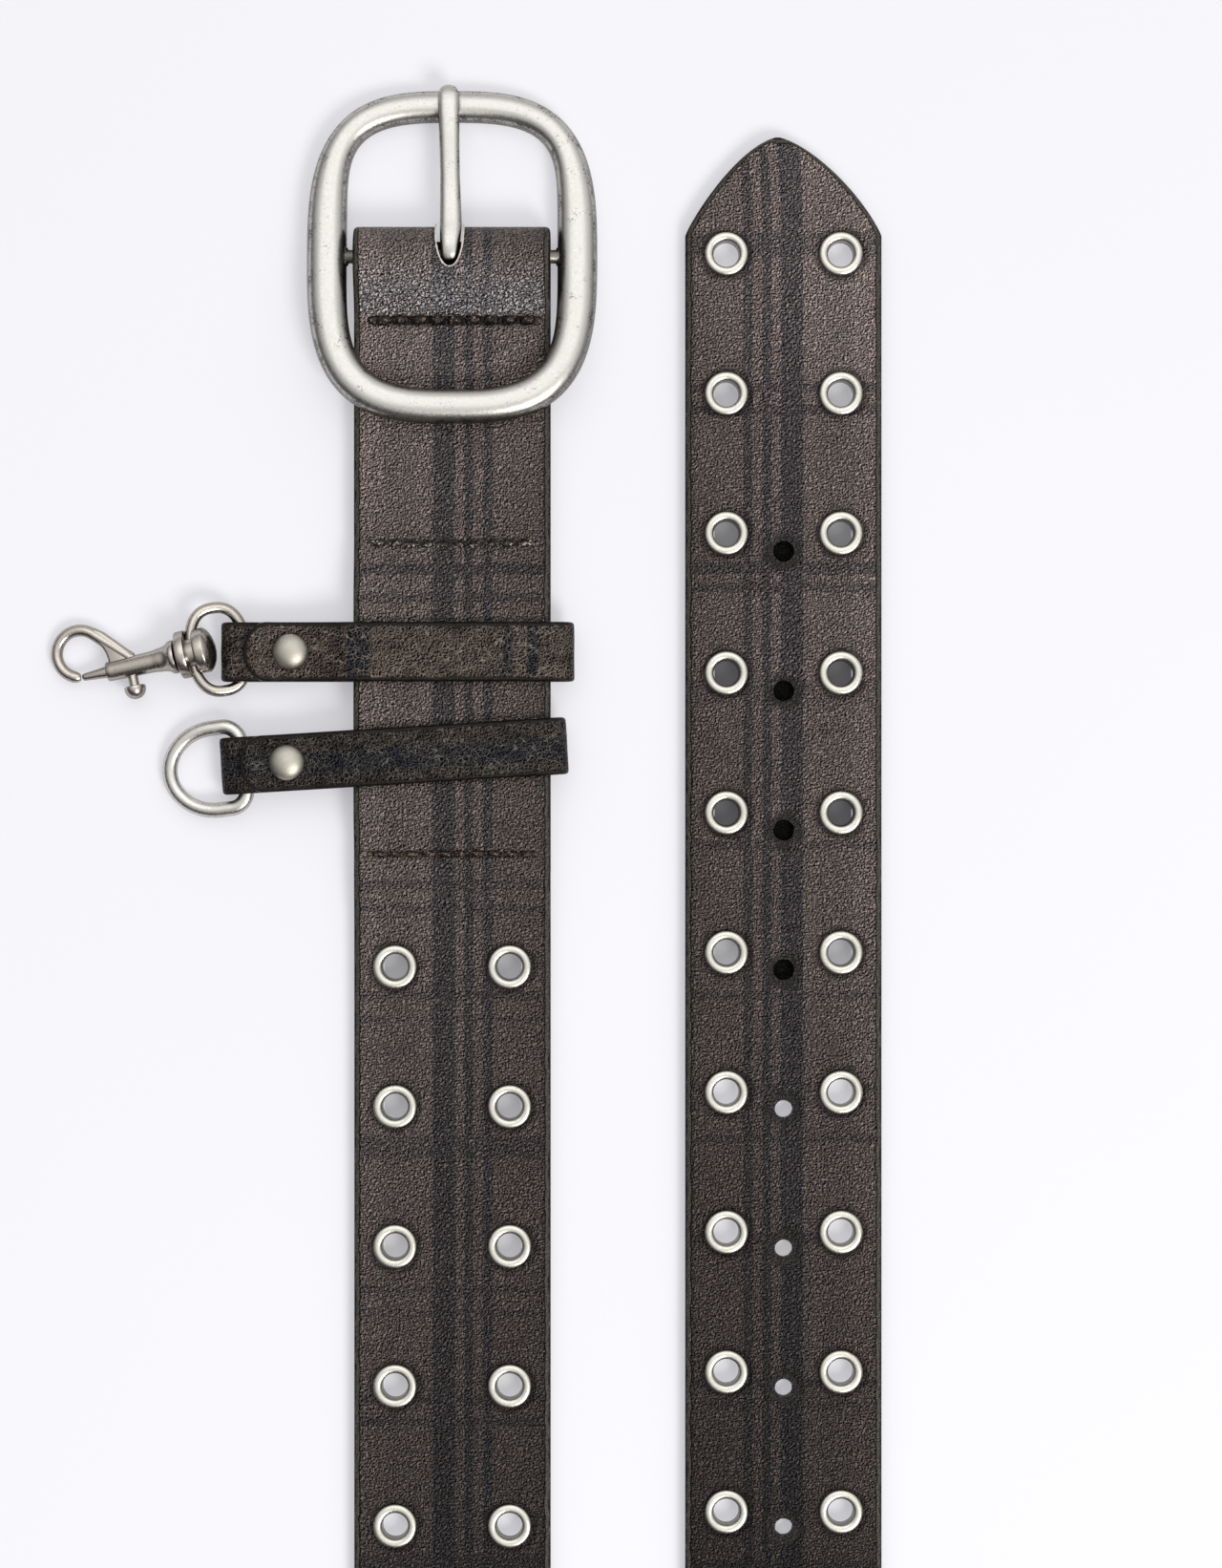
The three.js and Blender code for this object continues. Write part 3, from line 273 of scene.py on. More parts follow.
def shell(bm, rings, marks=None, closed=False):
    """Bends a grid of faces through rings of points, joins its seam and closes its ends.

    Marks give each point's place in the pattern, its distance from the edge and its level."""
    rows = len(rings)
    count = len(rings[0])
    spans = rows if closed else rows - 1
    grid = bmesh.ops.create_grid(bm, x_segments=count, y_segments=spans, size=1)["verts"]
    place = {}
    for vert in grid:
        place[vert] = (round((vert.co.x + 1) / 2 * count), round((vert.co.y + 1) / 2 * spans))
    pattern, rim = (bm.loops.layers.uv.get(name) or bm.loops.layers.uv.new(name)
                    for name in ("pattern", "rim"))
    for face in faces_of(grid):
        for loop in face.loops:
            i, j = place[loop.vert]
            mark = marks[j][i % count] if marks else (i / count, j / spans, 9, 1)
            loop[pattern].uv = mark[0:2]
            loop[rim].uv = mark[2:4]
    for vert, (i, j) in place.items():
        vert.co = rings[j % rows][i % count]
    before = set(bm.verts) - set(grid)
    bmesh.ops.remove_doubles(bm, verts=grid, dist=1e-5)
    verts = [vert for vert in bm.verts if vert not in before]
    if not closed:
        ends = [edge for edge in edges_of(verts) if edge.is_boundary]
        bmesh.ops.edgeloop_fill(bm, edges=ends)
    bmesh.ops.recalc_face_normals(bm, faces=faces_of(verts))


def spun(bm, profile, steps, matrix=Matrix()):
    """Turns a profile of radius and height about the Z axis into a closed solid."""
    before = set(bm.verts)
    points = [bm.verts.new((radius, 0, height)) for radius, height in profile]
    edges = [bm.edges.new(pair) for pair in zip(points, points[1:])]
    bmesh.ops.spin(bm, geom=points + edges, cent=(0, 0, 0), axis=(0, 0, 1), angle=2 * math.pi,
                   steps=steps, use_merge=True)
    made = [vert for vert in bm.verts if vert not in before]
    bmesh.ops.remove_doubles(bm, verts=made, dist=1e-4)
    made = [vert for vert in bm.verts if vert not in before]
    bmesh.ops.recalc_face_normals(bm, faces=faces_of(made))
    bmesh.ops.transform(bm, matrix=matrix, verts=made)


def prism(bm, outline, rise):
    """Pushes a flat outline up into a closed prism, and gives its upper corners."""
    corners = [bm.verts.new(point) for point in outline]
    pushed = bmesh.ops.extrude_face_region(bm, geom=[bm.faces.new(corners)])["geom"]
    raised = [item for item in pushed if isinstance(item, bmesh.types.BMVert)]
    bmesh.ops.translate(bm, vec=(0, 0, rise), verts=raised)
    bmesh.ops.recalc_face_normals(bm, faces=faces_of(corners + raised))
    return raised


def mark_sharp(bm, degrees):
    """Smooths a mesh but for the edges that are sharper than an angle."""
    limit = math.radians(degrees)
    for edge in bm.edges:
        edge.smooth = len(edge.link_faces) == 2 and edge.calc_face_angle(0) < limit
    for face in bm.faces:
        face.smooth = True


def finish_piece(name, bm, material, body, nodes, crease=40):
    """Turns a mesh in millimetres into a piece of the part, smooth but for its sharp edges."""
    bmesh.ops.translate(bm, vec=HOME, verts=bm.verts)
    bmesh.ops.scale(bm, vec=(MM, MM, MM), verts=bm.verts)
    mark_sharp(bm, crease)
    mesh = bpy.data.meshes.new(name)
    bm.to_mesh(mesh)
    bm.free()
    piece = bpy.data.objects.new(name, mesh)
    bpy.context.scene.collection.objects.link(piece)
    mesh.materials.append(material)
    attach(piece, body)
    if nodes:
        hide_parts(*nodes)
    return piece


def cut_piece(piece, cutters):
    """Cuts a piece with closed shapes, once and for all."""
    cutter_mesh = bpy.data.meshes.new("cutter")
    cutters.to_mesh(cutter_mesh)
    cutters.free()
    cutter = bpy.data.objects.new("cutter", cutter_mesh)
    bpy.context.scene.collection.objects.link(cutter)
    boolean = piece.modifiers.new("holes", "BOOLEAN")
    boolean.object = cutter
    boolean.solver = "EXACT"
    graph = bpy.context.evaluated_depsgraph_get()
    mesh = bpy.data.meshes.new_from_object(piece.evaluated_get(graph))
    piece.modifiers.clear()
    old = piece.data
    piece.data = mesh
    bpy.data.meshes.remove(old)
    bpy.data.objects.remove(cutter)
    bpy.data.meshes.remove(cutter_mesh)


# The route of the strap

flare_offset = FLARE_RADIUS * (1 - math.cos(FLARE_ANGLE))
turn_radius = (-LEFT_X + flare_offset) / math.cos(FLARE_ANGLE)
flare_length = FLARE_RADIUS * FLARE_ANGLE
turn_angle = math.pi + 2 * FLARE_ANGLE
turn_length = turn_radius * turn_angle
strand_length = (STRAP_LENGTH - TIP_Y - turn_length - 2 * flare_length) / 2
ROUTE = (
    {"length": strand_length, "turn": 0.0},
    {"length": flare_length, "turn": -FLARE_ANGLE},
    {"length": turn_length, "turn": turn_angle},
    {"length": flare_length, "turn": -FLARE_ANGLE},
    {"length": strand_length + TIP_Y + 1, "turn": 0.0},
)
roll_end = strand_length + flare_length
roll_start = roll_end - ROLL_LENGTH
unroll_start = roll_end + turn_length


def route_at(distance):
    """Place in plan and heading at a distance along the strap from its fold."""
    x, y, heading, left = LEFT_X, 0.0, -math.pi / 2, distance
    for stretch in ROUTE:
        travel = min(left, stretch["length"])
        if stretch["turn"] == 0:
            x += travel * math.cos(heading)
            y += travel * math.sin(heading)
        else:
            radius = stretch["length"] / stretch["turn"]
            onward = heading + travel / radius
            x += radius * (math.sin(onward) - math.sin(heading))
            y -= radius * (math.cos(onward) - math.cos(heading))
            heading = onward
        left -= travel
        if left <= 0:
            break
    return x, y, heading


def strap_frame(distance, thickness):
    """Middle of the strap, the direction across it, and the direction that its face looks."""
    x, y, heading = route_at(distance)
    rising = smoothstep(distance, roll_start, roll_end)
    falling = smoothstep(distance, unroll_start, unroll_start + ROLL_LENGTH)
    roll = math.pi / 2 * (rising - falling)
    z = STRAP_HALF * math.sin(roll) + (thickness / 2 + STRAP_LIFT) * math.cos(roll)
    level = Vector((-math.sin(heading), math.cos(heading), 0))
    across = level * math.cos(roll) + UP * math.sin(roll)
    face = UP * math.cos(roll) - level * math.sin(roll)
    return Vector((x, y, z)), across, face


def strap_place(distance, offset, thickness, above=0.0):
    """Puts a thing that was made round the Z axis on the strap, at an offset from its middle line."""
    def at(along):
        """The same offset at another distance"""
        middle, across, _ = strap_frame(along, thickness)
        return middle + across * offset
    across = strap_frame(distance, thickness)[1]
    onward = (at(distance + 1) - at(distance - 1)).normalized()
    face = onward.cross(across).normalized()
    place = Matrix((across, face.cross(across), face)).transposed().to_4x4()
    place.translation = at(distance) + face * above
    return place


def front_under(y):
    """Height of the front layer's underside, and its slope, on the folded stretch."""
    for (near, start), (far, end) in zip(FRONT_HEIGHTS, FRONT_HEIGHTS[1:]):
        if y >= far:
            part = min(max((near - y) / (near - far), 0), 1)
            height = start + (end - start) * (1 - math.cos(math.pi * part)) / 2
            slope = -math.pi / 2 * (end - start) * math.sin(math.pi * part) / (near - far)
            return height, slope
    return FRONT_HEIGHTS[-1][1], 0.0


def stitch_dent(y):
    """How deep the threads pull the leather in, on the folded stretch."""
    return sum(0.35 * math.exp(-((y - row["y"]) / 1.1) ** 2) for row in STITCH_ROWS)


def tip_half_width(back, width):
    """Half the strap's width at a distance back from its pointed tip."""
    part = min(max(back / TIP_TAPER, 0), 1)
    return max(width / 2 * (1 - (1 - part) ** 1.15) ** 0.66, 0.6)


def strap_stations(leather):
    """Every cross-section of the strap, from the hidden end of its fold to its tip.

    Each has its middle, its direction across, where its face looks, its thickness and its
    distance along, which the printed pattern goes by."""
    thick = leather.thickness / MM
    under = leather.under_thickness / MM
    stations = []
    right = Vector((1, 0, 0))
    # The layer folded back, thinned to its end
    steps = int(UNDER_LENGTH / 4)
    for i in range(steps + 1):
        y = -UNDER_LENGTH + (UNDER_LENGTH - 6) * i / steps
        layer = mix(0.9, under, smoothstep(y, -UNDER_LENGTH, -UNDER_LENGTH + 8))
        stations.append((Vector((LEFT_X, y, layer / 2)), right, -UP, layer, y - 25))
    # Round the bar
    for i in range(25):
        part = i / 24
        angle = math.pi * part - math.pi / 2
        layer = mix(under, thick, part)
        face = Vector((0, math.cos(angle), math.sin(angle)))
        middle = Vector((LEFT_X, FOLD_Y, FOLD_Z)) + face * (FOLD_INNER + layer / 2)
        stations.append((middle, right, face, layer, -14 + 20 * part))
    # The front layer over the fold, with finer steps at the stitches
    y = -6.6
    while y > -FRONT_LENGTH:
        height, slope = front_under(y)
        face = Vector((0, -slope, 1)).normalized()
        middle = Vector((LEFT_X, y, height)) + face * thick / 2
        middle.z -= stitch_dent(y)
        stations.append((middle, right, face, thick, -y))
        near = min(abs(y - row["y"]) for row in STITCH_ROWS)
        y -= 0.45 if near < 3 else 1.5
    # Along the route, and then to the tip in ever finer steps
    distance = FRONT_LENGTH + 1
    while distance < STRAP_LENGTH - TIP_LENGTH:
        middle, across, face = strap_frame(distance, thick)
        stations.append((middle, across, face, thick, distance))
        distance += 2.5
    for i in range(37):
        back = TIP_LENGTH * (1 - i / 36) ** 1.7
        middle, across, face = strap_frame(STRAP_LENGTH - back, thick)
        middle += across * 1.2 * max(0, 1 - back / TIP_TAPER) ** 2
        stations.append((middle, across, face, thick, STRAP_LENGTH - back))
    return stations


# Across one edge: how far in from the edge, and how high, in parts of half the thickness
EDGE_PROFILE = (
    (0.35, -1.0), (0.0, -0.75), (0.0, 0.0), (0.08, 0.45), (0.28, 0.75), (0.6, 0.92), (1.0, 0.99), (1.5, 1.0),
)


def strap_section(half, top_points, back_points, depth):
    """The outline of a strap's section as offsets, heights and distances in from its edge."""
    right_edge = [(half - inset * depth, level, inset) for inset, level in EDGE_PROFILE]
    left_edge = [(-w, level, inset) for w, level, inset in reversed(right_edge)]
    inner = right_edge[-1][0]
    low = right_edge[0][0]
    top = [mix(inner, -inner, i / top_points) for i in range(1, top_points)]
    back = [mix(-low, low, i / back_points) for i in range(1, back_points)]
    return (right_edge + [(w, 1.0, half - abs(w)) for w in top]
            + left_edge + [(w, -1.0, half - abs(w)) for w in back])


def strap_mesh(leather):
    """The strap before its holes are cut, its faces gently uneven."""
    rings = []
    marks = []
    for middle, across, face, layer, along in strap_stations(leather):
        from_tip = STRAP_LENGTH - along
        half = leather.width / MM / 2
        if from_tip < TIP_LENGTH:
            half = tip_half_width(from_tip, leather.width / MM)
        ring = []
        row = []
        for w, level, inset in strap_section(half, 26, 8, min(1, half / 3)):
            drop = 1.0
            if from_tip < 1.2 and level > 0.5:
                drop = mix(0.35, 1.0, math.sqrt(from_tip / 1.2))
            point = middle + across * w + face * (level * layer / 2 * drop)
            if layer > 2 and 10 < along < STRAP_LENGTH - 3:
                point += face * (noise.noise(Vector((w * 0.09, along * 0.05, 3.7))) * 0.22)
            ring.append(point)
            row.append((w, along, min(inset, from_tip * 0.9), level))
        rings.append(ring)
        marks.append(row)
    bm = bmesh.new()
    shell(bm, rings, marks)
    return bm


class BELT_OT_strap(bpy.types.Operator):
    """Build the long strap with its fold, eyelet holes, punched holes and prong slot"""
    bl_idname = "belt.strap"
    bl_label = "Strap"

    def execute(self, context):
        leather = context.scene.belt_leather
        material = printed_leather(context)
        piece = finish_piece("strap_leather", strap_mesh(leather), material, "strap_side", ["strap"])
        self.cut_holes(piece, leather.thickness / MM)
        self.cut_slot(piece)
        bm = bmesh.new()
        bm.from_mesh(piece.data)
        mark_sharp(bm, 35)
        bm.to_mesh(piece.data)
        bm.free()
        slot_edge()
        return {"FINISHED"}

    def cut_holes(self, piece, thick):
        """Cuts the eyelets' holes, and the punched holes, which are a little ragged"""
        bm = bmesh.new()
        for distance, offset, radius, floor in hole_places():
            place = strap_place(distance, offset, thick, floor + CUT_DEPTH / 2)
            place.translation = (place.translation + HOME) * MM
            made = bmesh.ops.create_cone(bm, cap_ends=True, segments=32, radius1=radius * MM,
                                         radius2=radius * MM, depth=CUT_DEPTH * MM, matrix=place)["verts"]
            if radius < HOLE_RADIUS:
                for vert in made:
                    outward = (vert.co - place.translation).normalized()
                    vert.co += outward * random.uniform(-RAGGED, RAGGED)
        cut_piece(piece, bm)

    def cut_slot(self, piece):
        """Cuts the slot through the top of the fold, round its front and on through the bottom

        It is shorter at the bottom, where the prong comes through when the buckle turns down."""
        side = SLOT_HALF + 0.05
        over = slot_outline(40) + [(SLOT_HALF, 3.0), (-SLOT_HALF, 3.0)]
        under = [(-side, -7.5), (side, -7.5), (side, 2.9), (-side, 2.9)]
        for corners, low, high in ((over, FOLD_Z, 20.0), (under, -4.0, FOLD_Z + 0.5)):
            bm = bmesh.new()
            prism(bm, [(Vector((PRONG_X + x, y, low)) + HOME) * MM for x, y in corners], (high - low) * MM)
            cut_piece(piece, bm)


def slot_outline(steps):
    """The rounded outline of the prong's slot, from its left mouth round to its right one."""
    points = []
    for i in range(steps + 1):
        angle = math.pi * i / steps
        points.append((-SLOT_HALF * math.cos(angle), -SLOT_LENGTH * math.sin(angle) ** 0.77))
    return points


def slot_edge():
    """A thin tube round the prong's slot, along its cut edge, painted nearly white: a painted highlight where
    the edge catches the light.
    """
    path = []
    for x, y in [(-SLOT_HALF, 0.3)] + slot_outline(60) + [(SLOT_HALF, 0.3)]:
        top = front_under(y)[0] + 3
        if y > FOLD_Y:
            top = FOLD_Z + math.sqrt(FOLD_OUTER ** 2 - min(y - FOLD_Y, 5.8) ** 2)
        path.append(Vector((PRONG_X + x, y, top - 0.06)))
    rings = []
    for i, point in enumerate(path):
        onward = (path[min(i + 1, len(path) - 1)] - path[max(i - 1, 0)]).normalized()
        across = onward.cross(UP).normalized()
        radius = 0.17 + 0.09 * noise.noise(point * 1.9)  # of the edge, a little ragged
        rings.append(round_ring(point, across * radius, across.cross(onward) * radius, 8))
    bm = bmesh.new()
    shell(bm, rings)
    finish_piece("slot_edge_highlight", bm, cut_edge_highlight(), "strap_side", None)


def hole_places():
    """Distance along, offset across, radius and floor of every hole in the strap.

    The punched holes nearest the tip stop short of the strap's back, so that their dark leather floor stands
    in as painted shade for the shade below the strap."""
    places = []
    for row in range(ROW_COUNT):
        for side in (-1, 1):
            places.append((FIRST_ROW + row * ROW_PITCH, side * EYELET_SPREAD, HOLE_RADIUS, THROUGH))
    for i in range(PUNCH_COUNT):
        radius, floor = (2.15, -0.9) if i < SHADED_PUNCHES else (1.8, THROUGH)
        places.append((STRAP_LENGTH - FIRST_PUNCH - i * PUNCH_PITCH, 0.0, radius, floor))
    return places


class BELT_OT_eyelets(bpy.types.Operator):
    """Build the rolled eyelets, two to a row along the strap"""
    bl_idname = "belt.eyelets"
    bl_label = "Eyelets"

    def execute(self, context):
        metal = context.scene.belt_metal
        thick = context.scene.belt_leather.thickness / MM
        outer = metal.eyelet_radius / MM
        hole = metal.eyelet_hole / MM
        half = thick / 2
        neck = HOLE_RADIUS - 0.1
        roll = (outer - hole + 0.1) / 2
        profile = [
            (hole - 0.25, -half - 0.55), (hole + 0.5, -half - 0.78), (outer - 0.4, -half - 0.62),
            (outer, -half - 0.3), (outer - 0.1, -half), (neck, -half + 0.05), (neck, half - 0.05),
            (outer - 0.12, half - 0.1),
        ]
        for i in range(13):
            angle = math.pi * i / 12
            height = half + 0.1 + 0.72 * math.sin(angle) ** 0.8
            profile.append((outer - roll + roll * math.cos(angle), height))
        profile += [(hole - 0.16, half - 0.7), profile[0]]
        one = bmesh.new()
        spun(one, profile, 40)
        pattern = bpy.data.meshes.new("eyelet")
        one.to_mesh(pattern)
        one.free()
        bm = bmesh.new()
        for row in range(ROW_COUNT):
            for side in (-1, 1):
                place = strap_place(FIRST_ROW + row * ROW_PITCH, side * EYELET_SPREAD, thick)
                count = len(bm.verts)
                bm.from_mesh(pattern)
                bm.verts.ensure_lookup_table()
                bmesh.ops.transform(bm, matrix=place, verts=bm.verts[count:])
        bpy.data.meshes.remove(pattern)
        nodes = ["eyelet_%02d" % i for i in range(1, 31)]
        finish_piece("eyelets", bm, eyelet_nickel(), "strap_side", nodes, crease=60)
        return {"FINISHED"}


def oblong(half_width, half_length, power, angle):
    """Distance from the middle to a rounded oblong outline in a direction."""
    wide = abs(math.cos(angle) / half_width) ** power
    long = abs(math.sin(angle) / half_length) ** power
    return (wide + long) ** (-1 / power)


def window_reach(angle):
    """Distance from the bar's middle to the edge of the buckle's window in a direction.

    The window is a little longer and squarer above the bar than below it, so the edge is
    found by halving the stretch that it lies in."""
    half_length, end_power = (WINDOW_ABOVE, 6.0) if math.sin(angle) > 0 else (WINDOW_BELOW, 4.3)
    near, far = 10.0, 45.0
    for _ in range(30):
        reach = (near + far) / 2
        across = abs(reach * math.cos(angle)) / WINDOW_HALF_WIDTH
        along = abs(reach * math.sin(angle)) / half_length
        if across ** 3 + along ** end_power < 1:
            near = reach
        else:
            far = reach
    return near


def frame_point(across, along, above):
    """A point on the buckle's frame, which leans on the strap, from the middle of its bar."""
    turn = Matrix.Rotation(-FRAME_TILT, 3, "X")
    return turn @ Vector((across, along, above)) + BAR


# The prong from its tail to its tip: y, height, half width and half thickness
PRONG_SECTIONS = (
    (-7.3, 7.7, 1.0, 0.8), (-7.15, 7.95, 1.45, 1.1), (-6.7, 8.2, 1.75, 1.3), (-5.6, 8.4, 1.9, 1.4),
    (-3.8, 8.45, 2.0, 1.45), (-2.0, 8.2, 2.12, 1.45), (0, 7.6, 2.22, 1.4), (3, 6.85, 2.15, 1.3),
    (10, 6.45, 1.98, 1.3), (17, 6.45, 2.02, 1.3), (22, 6.4, 2.12, 1.3), (25, 6.2, 2.2, 1.25),
    (26.8, 5.95, 2.12, 1.2), (27.9, 5.6, 1.8, 1.05), (28.5, 5.4, 1.25, 0.8), (28.8, 5.25, 0.5, 0.4),
)


class BELT_OT_buckle(bpy.types.Operator):
    """Build the domed frame, its bar and the prong"""
    bl_idname = "belt.buckle"
    bl_label = "Buckle"

    def execute(self, context):
        plating = antique_nickel()
        self.frame(plating)
        bm = bmesh.new()
        turn = Matrix.Translation(BAR) @ Matrix.Rotation(math.pi / 2, 4, "Y")
        half = [(0, BAR_HALF), (BAR_RADIUS - 0.2, BAR_HALF), (BAR_RADIUS, BAR_HALF - 0.3)]
        spun(bm, [(radius, -height) for radius, height in half] + half[::-1], 32, turn)
        finish_piece("buckle_bar_plated", bm, shaded_bar_nickel(), "buckle", ["buckle_bar"])
        self.prong(plating)
        return {"FINISHED"}

    def frame(self, plating):
        """Builds the frame from its sections, and its two lugs"""
        rings = []
        for angle in full_turn(160):
            near = window_reach(angle)
            far = oblong(FRAME_HALF_WIDTH, FRAME_HALF_LENGTH, 3.0, angle)
            section = [(near + 0.5, -1.0), (near + 0.1, -0.75), (near, -0.2)]
            for j in range(1, 18):
                part = j / 18
                dome = FRAME_DOME * math.sqrt(1 - abs(2 * part - 1) ** 2.5)
                section.append((mix(near, far, part), 0.15 + dome))
            section += [(far, -0.2), (far - 0.15, -0.75), (far - 0.6, -1.0)]
            rings.append([
                frame_point(reach * math.cos(angle), reach * math.sin(angle), above)
                for reach, above in section])
        bm = bmesh.new()
        shell(bm, rings, closed=True)
        for side in (-1, 1):
            lug = bmesh.ops.create_cube(bm, size=1)["verts"]
            place = Matrix.Translation((LEFT_X + side * (BAR_HALF - 0.1), BAR.y, BAR.z - 0.5)) \
                @ Matrix.Rotation(-FRAME_TILT, 4, "X") @ Matrix.Diagonal((4.8, 4.5, 3.6, 1))
            bmesh.ops.transform(bm, matrix=place, verts=lug)
            bmesh.ops.bevel(bm, geom=edges_of(lug), offset=1.2, segments=4, profile=0.5,
                            affect="EDGES", material=-1)
        finish_piece("buckle_frame_plated", bm, plating, "buckle", ["buckle_frame"])

    def prong(self, plating):
        """Builds the prong from its sections, and its eye from a turned ring"""
        rings = []
        tip = PRONG_SECTIONS[-1][0]
        for y, z, wide, high in PRONG_SECTIONS:
            lean = mix(0.25, -0.3, y / tip) if y > 0 else mix(0.25, 0.0, -y / 6)
            ring = []
            for angle in full_turn(32, 0.5):
                aside, rise = (math.copysign(abs(part) ** 0.7, part)
                               for part in (math.cos(angle), math.sin(angle)))
                rise = max(rise, -0.8) * 1.12 - 0.1
                ring.append(Vector((PRONG_X + lean + wide * aside, y, z + high * rise)))
            rings.append(ring)
        bm = bmesh.new()
        shell(bm, rings)
        turn = Matrix.Translation((PRONG_X, BAR.y, BAR.z)) @ Matrix.Rotation(math.pi / 2, 4, "Y")
        eye = [(1.6, -1.6), (2.4, -1.6), (2.55, -1.4), (2.55, 1.4), (2.4, 1.6), (1.6, 1.6), (1.6, -1.6)]
        spun(bm, eye, 40, turn)
        finish_piece("prong_plated", bm, plating, "tongue", ["prong"], crease=50)


def fold_height(strap):
    """Height of the wire's middle in a small strap's fold.

    Below it are the gap to the floor, the strap, the wire itself and a little slack."""
    return 0.15 + 1.8 + strap["wire_radius"] + 0.4


def small_strap_line(strap, half):
    """The middle line of a small strap in the plane of its length and height."""
    step = 2 * half + 0.1
    inner = strap["wire_radius"] + 0.12
    fold = inner + half
    fold_z = fold_height(strap)
    fold_x = strap["fold_x"] + 2 * half + inner
    # Above the rivet's foot, above the layer folded back, and on top of the front layer
    bottom = 0.9 + 0.3 + half
    low = 1.8 + 0.3 + half
    high = 4.2 + 3.0 + 0.15 + half
    middle = bottom + step
    top = middle + step + 0.1
    wrap_x = strap["wrap_x"] - half - (high - low) / 2
    edge = LEFT_X - STRAP_HALF
    middle_left = strap["rivet_x"] - 3.7 - 0.8
    wire_right = strap["wire_x"] + strap["wire_radius"] * 0.7
    points = [(RIVET_RIGHT, middle)]

    def straight(x, z):
        """Goes on in a straight line"""
        x0, z0 = points[-1]
        count = max(1, int(abs(x - x0) / 2))
        points.extend((mix(x0, x, i / count), mix(z0, z, i / count)) for i in range(1, count + 1))

    def ease(x, z, steps):
        """Goes on in a smooth step up or down"""
        x0, z0 = points[-1]
        for i in range(1, steps * 3 + 1):
            part = i / (steps * 3)
            points.append((mix(x0, x, part), z0 + (z - z0) * (1 - math.cos(math.pi * part)) / 2))

    def arc(cx, cz, start, end):
        """Goes on round a centre"""
        x0, z0 = points[-1]
        radius = math.hypot(x0 - cx, z0 - cz)
        for i in range(1, 25):
            angle = mix(start, end, i / 24)
            points.append((cx + radius * math.cos(angle), cz + radius * math.sin(angle)))

    straight(middle_left, middle)
    ease(wire_right, fold_z + fold, 5)
    straight(fold_x, fold_z + fold)
    arc(fold_x, fold_z, math.pi / 2, 1.5 * math.pi)
    straight(wire_right, fold_z - fold)
    ease(middle_left, bottom, 3)
    straight(RIVET_RIGHT + 0.6, bottom)
    ease(edge - 1.4, low, 3)
    straight(wrap_x, low)
    arc(wrap_x, (low + high) / 2, -math.pi / 2, math.pi / 2)
    straight(edge + 3.2, high)
    ease(strap["rivet_x"] + 2.6, top, 7)
    straight(strap["rivet_x"] - 1.6, top)
    over = fold_z + fold + step
    ease(wire_right + 1.2, over, 7)
    begin = points[-1][0]
    for i in range(1, 19):
        part = 1 - (1 - i / 18) ** 1.6
        points.append((mix(begin, strap["end_x"], part), over - 0.35 * part ** 2))
    return points


def small_strap_place(strap):
    """Puts a small strap that was made along X at its height on the belt and its slope."""
    return Matrix.Translation((PIVOT_X, strap["y"], 0)) @ Matrix.Rotation(strap["slope"], 4, "Z") \
        @ Matrix.Translation((-PIVOT_X, 0, 0))


class BELT_OT_small_straps(bpy.types.Operator):
    """Build the two small straps that are looped round the front layer"""
    bl_idname = "belt.small_straps"
    bl_label = "Small straps"

    def execute(self, context):
        half = context.scene.belt_leather.small_thickness / MM / 2
        round_end = 4.6
        for strap in SMALL_STRAPS:
            line = small_strap_line(strap, half)
            lengths = [0.0]
            for (x0, z0), (x1, z1) in zip(line, line[1:]):
                lengths.append(lengths[-1] + math.hypot(x1 - x0, z1 - z0))
            rings = []
            marks = []
            for i, (x, z) in enumerate(line):
                x0, z0 = line[max(i - 1, 0)]
                x1, z1 = line[min(i + 1, len(line) - 1)]
                normal = Vector((z0 - z1, 0, x1 - x0)).normalized()
                short = 1 - min((lengths[-1] - lengths[i]) / round_end, 1)
                wide = max(strap["width"] / 2 * math.sqrt(1 - short ** 2), 0.4)
                ring = []
                row = []
                for w, level, inset in strap_section(wide, 14, 6, min(1, wide / 3) * 0.75):
                    wave = noise.noise(Vector((w * 0.25, lengths[i] * 0.12, strap["y"]))) * 0.12
                    point = Vector((x, 0, z)) + normal * (-level * half - wave)
                    ring.append(Vector((point.x, w, point.z)))
                    from_end = 5.0 * (1 - math.hypot(w * 2 / strap["width"], short))
                    row.append((w, lengths[i], min(inset, max(from_end, 0)), level))
                rings.append(ring)
                marks.append(row)
            bm = bmesh.new()
            shell(bm, rings, marks)
            bmesh.ops.transform(bm, matrix=small_strap_place(strap), verts=bm.verts)
            name = strap["name"] + "_strap"
            finish_piece(name + "_leather", bm, creased_leather(strap), "strap_side", [name],
                         crease=50)
        return {"FINISHED"}


class BELT_OT_rivets(bpy.types.Operator):
    """Build the domed rivets that close the small straps"""
    bl_idname = "belt.rivets"
    bl_label = "Rivets"

    def execute(self, context):
        radius = context.scene.belt_metal.rivet_radius / MM
        base = 7.35
        profile = [(0, 0), (2.6, 0), (3.0, 0.3), (2.8, 0.9), (1.2, 0.9), (1.2, base - 0.4)]
        profile += [(radius * 0.8, base - 0.45), (radius * 0.97, base - 0.3)]
        for i in range(13):
            angle = math.pi / 2 * i / 12
            profile.append((radius * math.cos(angle), base + 2.05 * math.sin(angle)))
        for strap in SMALL_STRAPS:
            bm = bmesh.new()
            spun(bm, profile, 48, small_strap_place(strap) @ Matrix.Translation((strap["rivet_x"], 0, 0)))
            name = strap["name"] + "_rivet"
            finish_piece(name + "_plated", bm, satin_nickel(), "strap_side", [name],
                         crease=60)
        return {"FINISHED"}


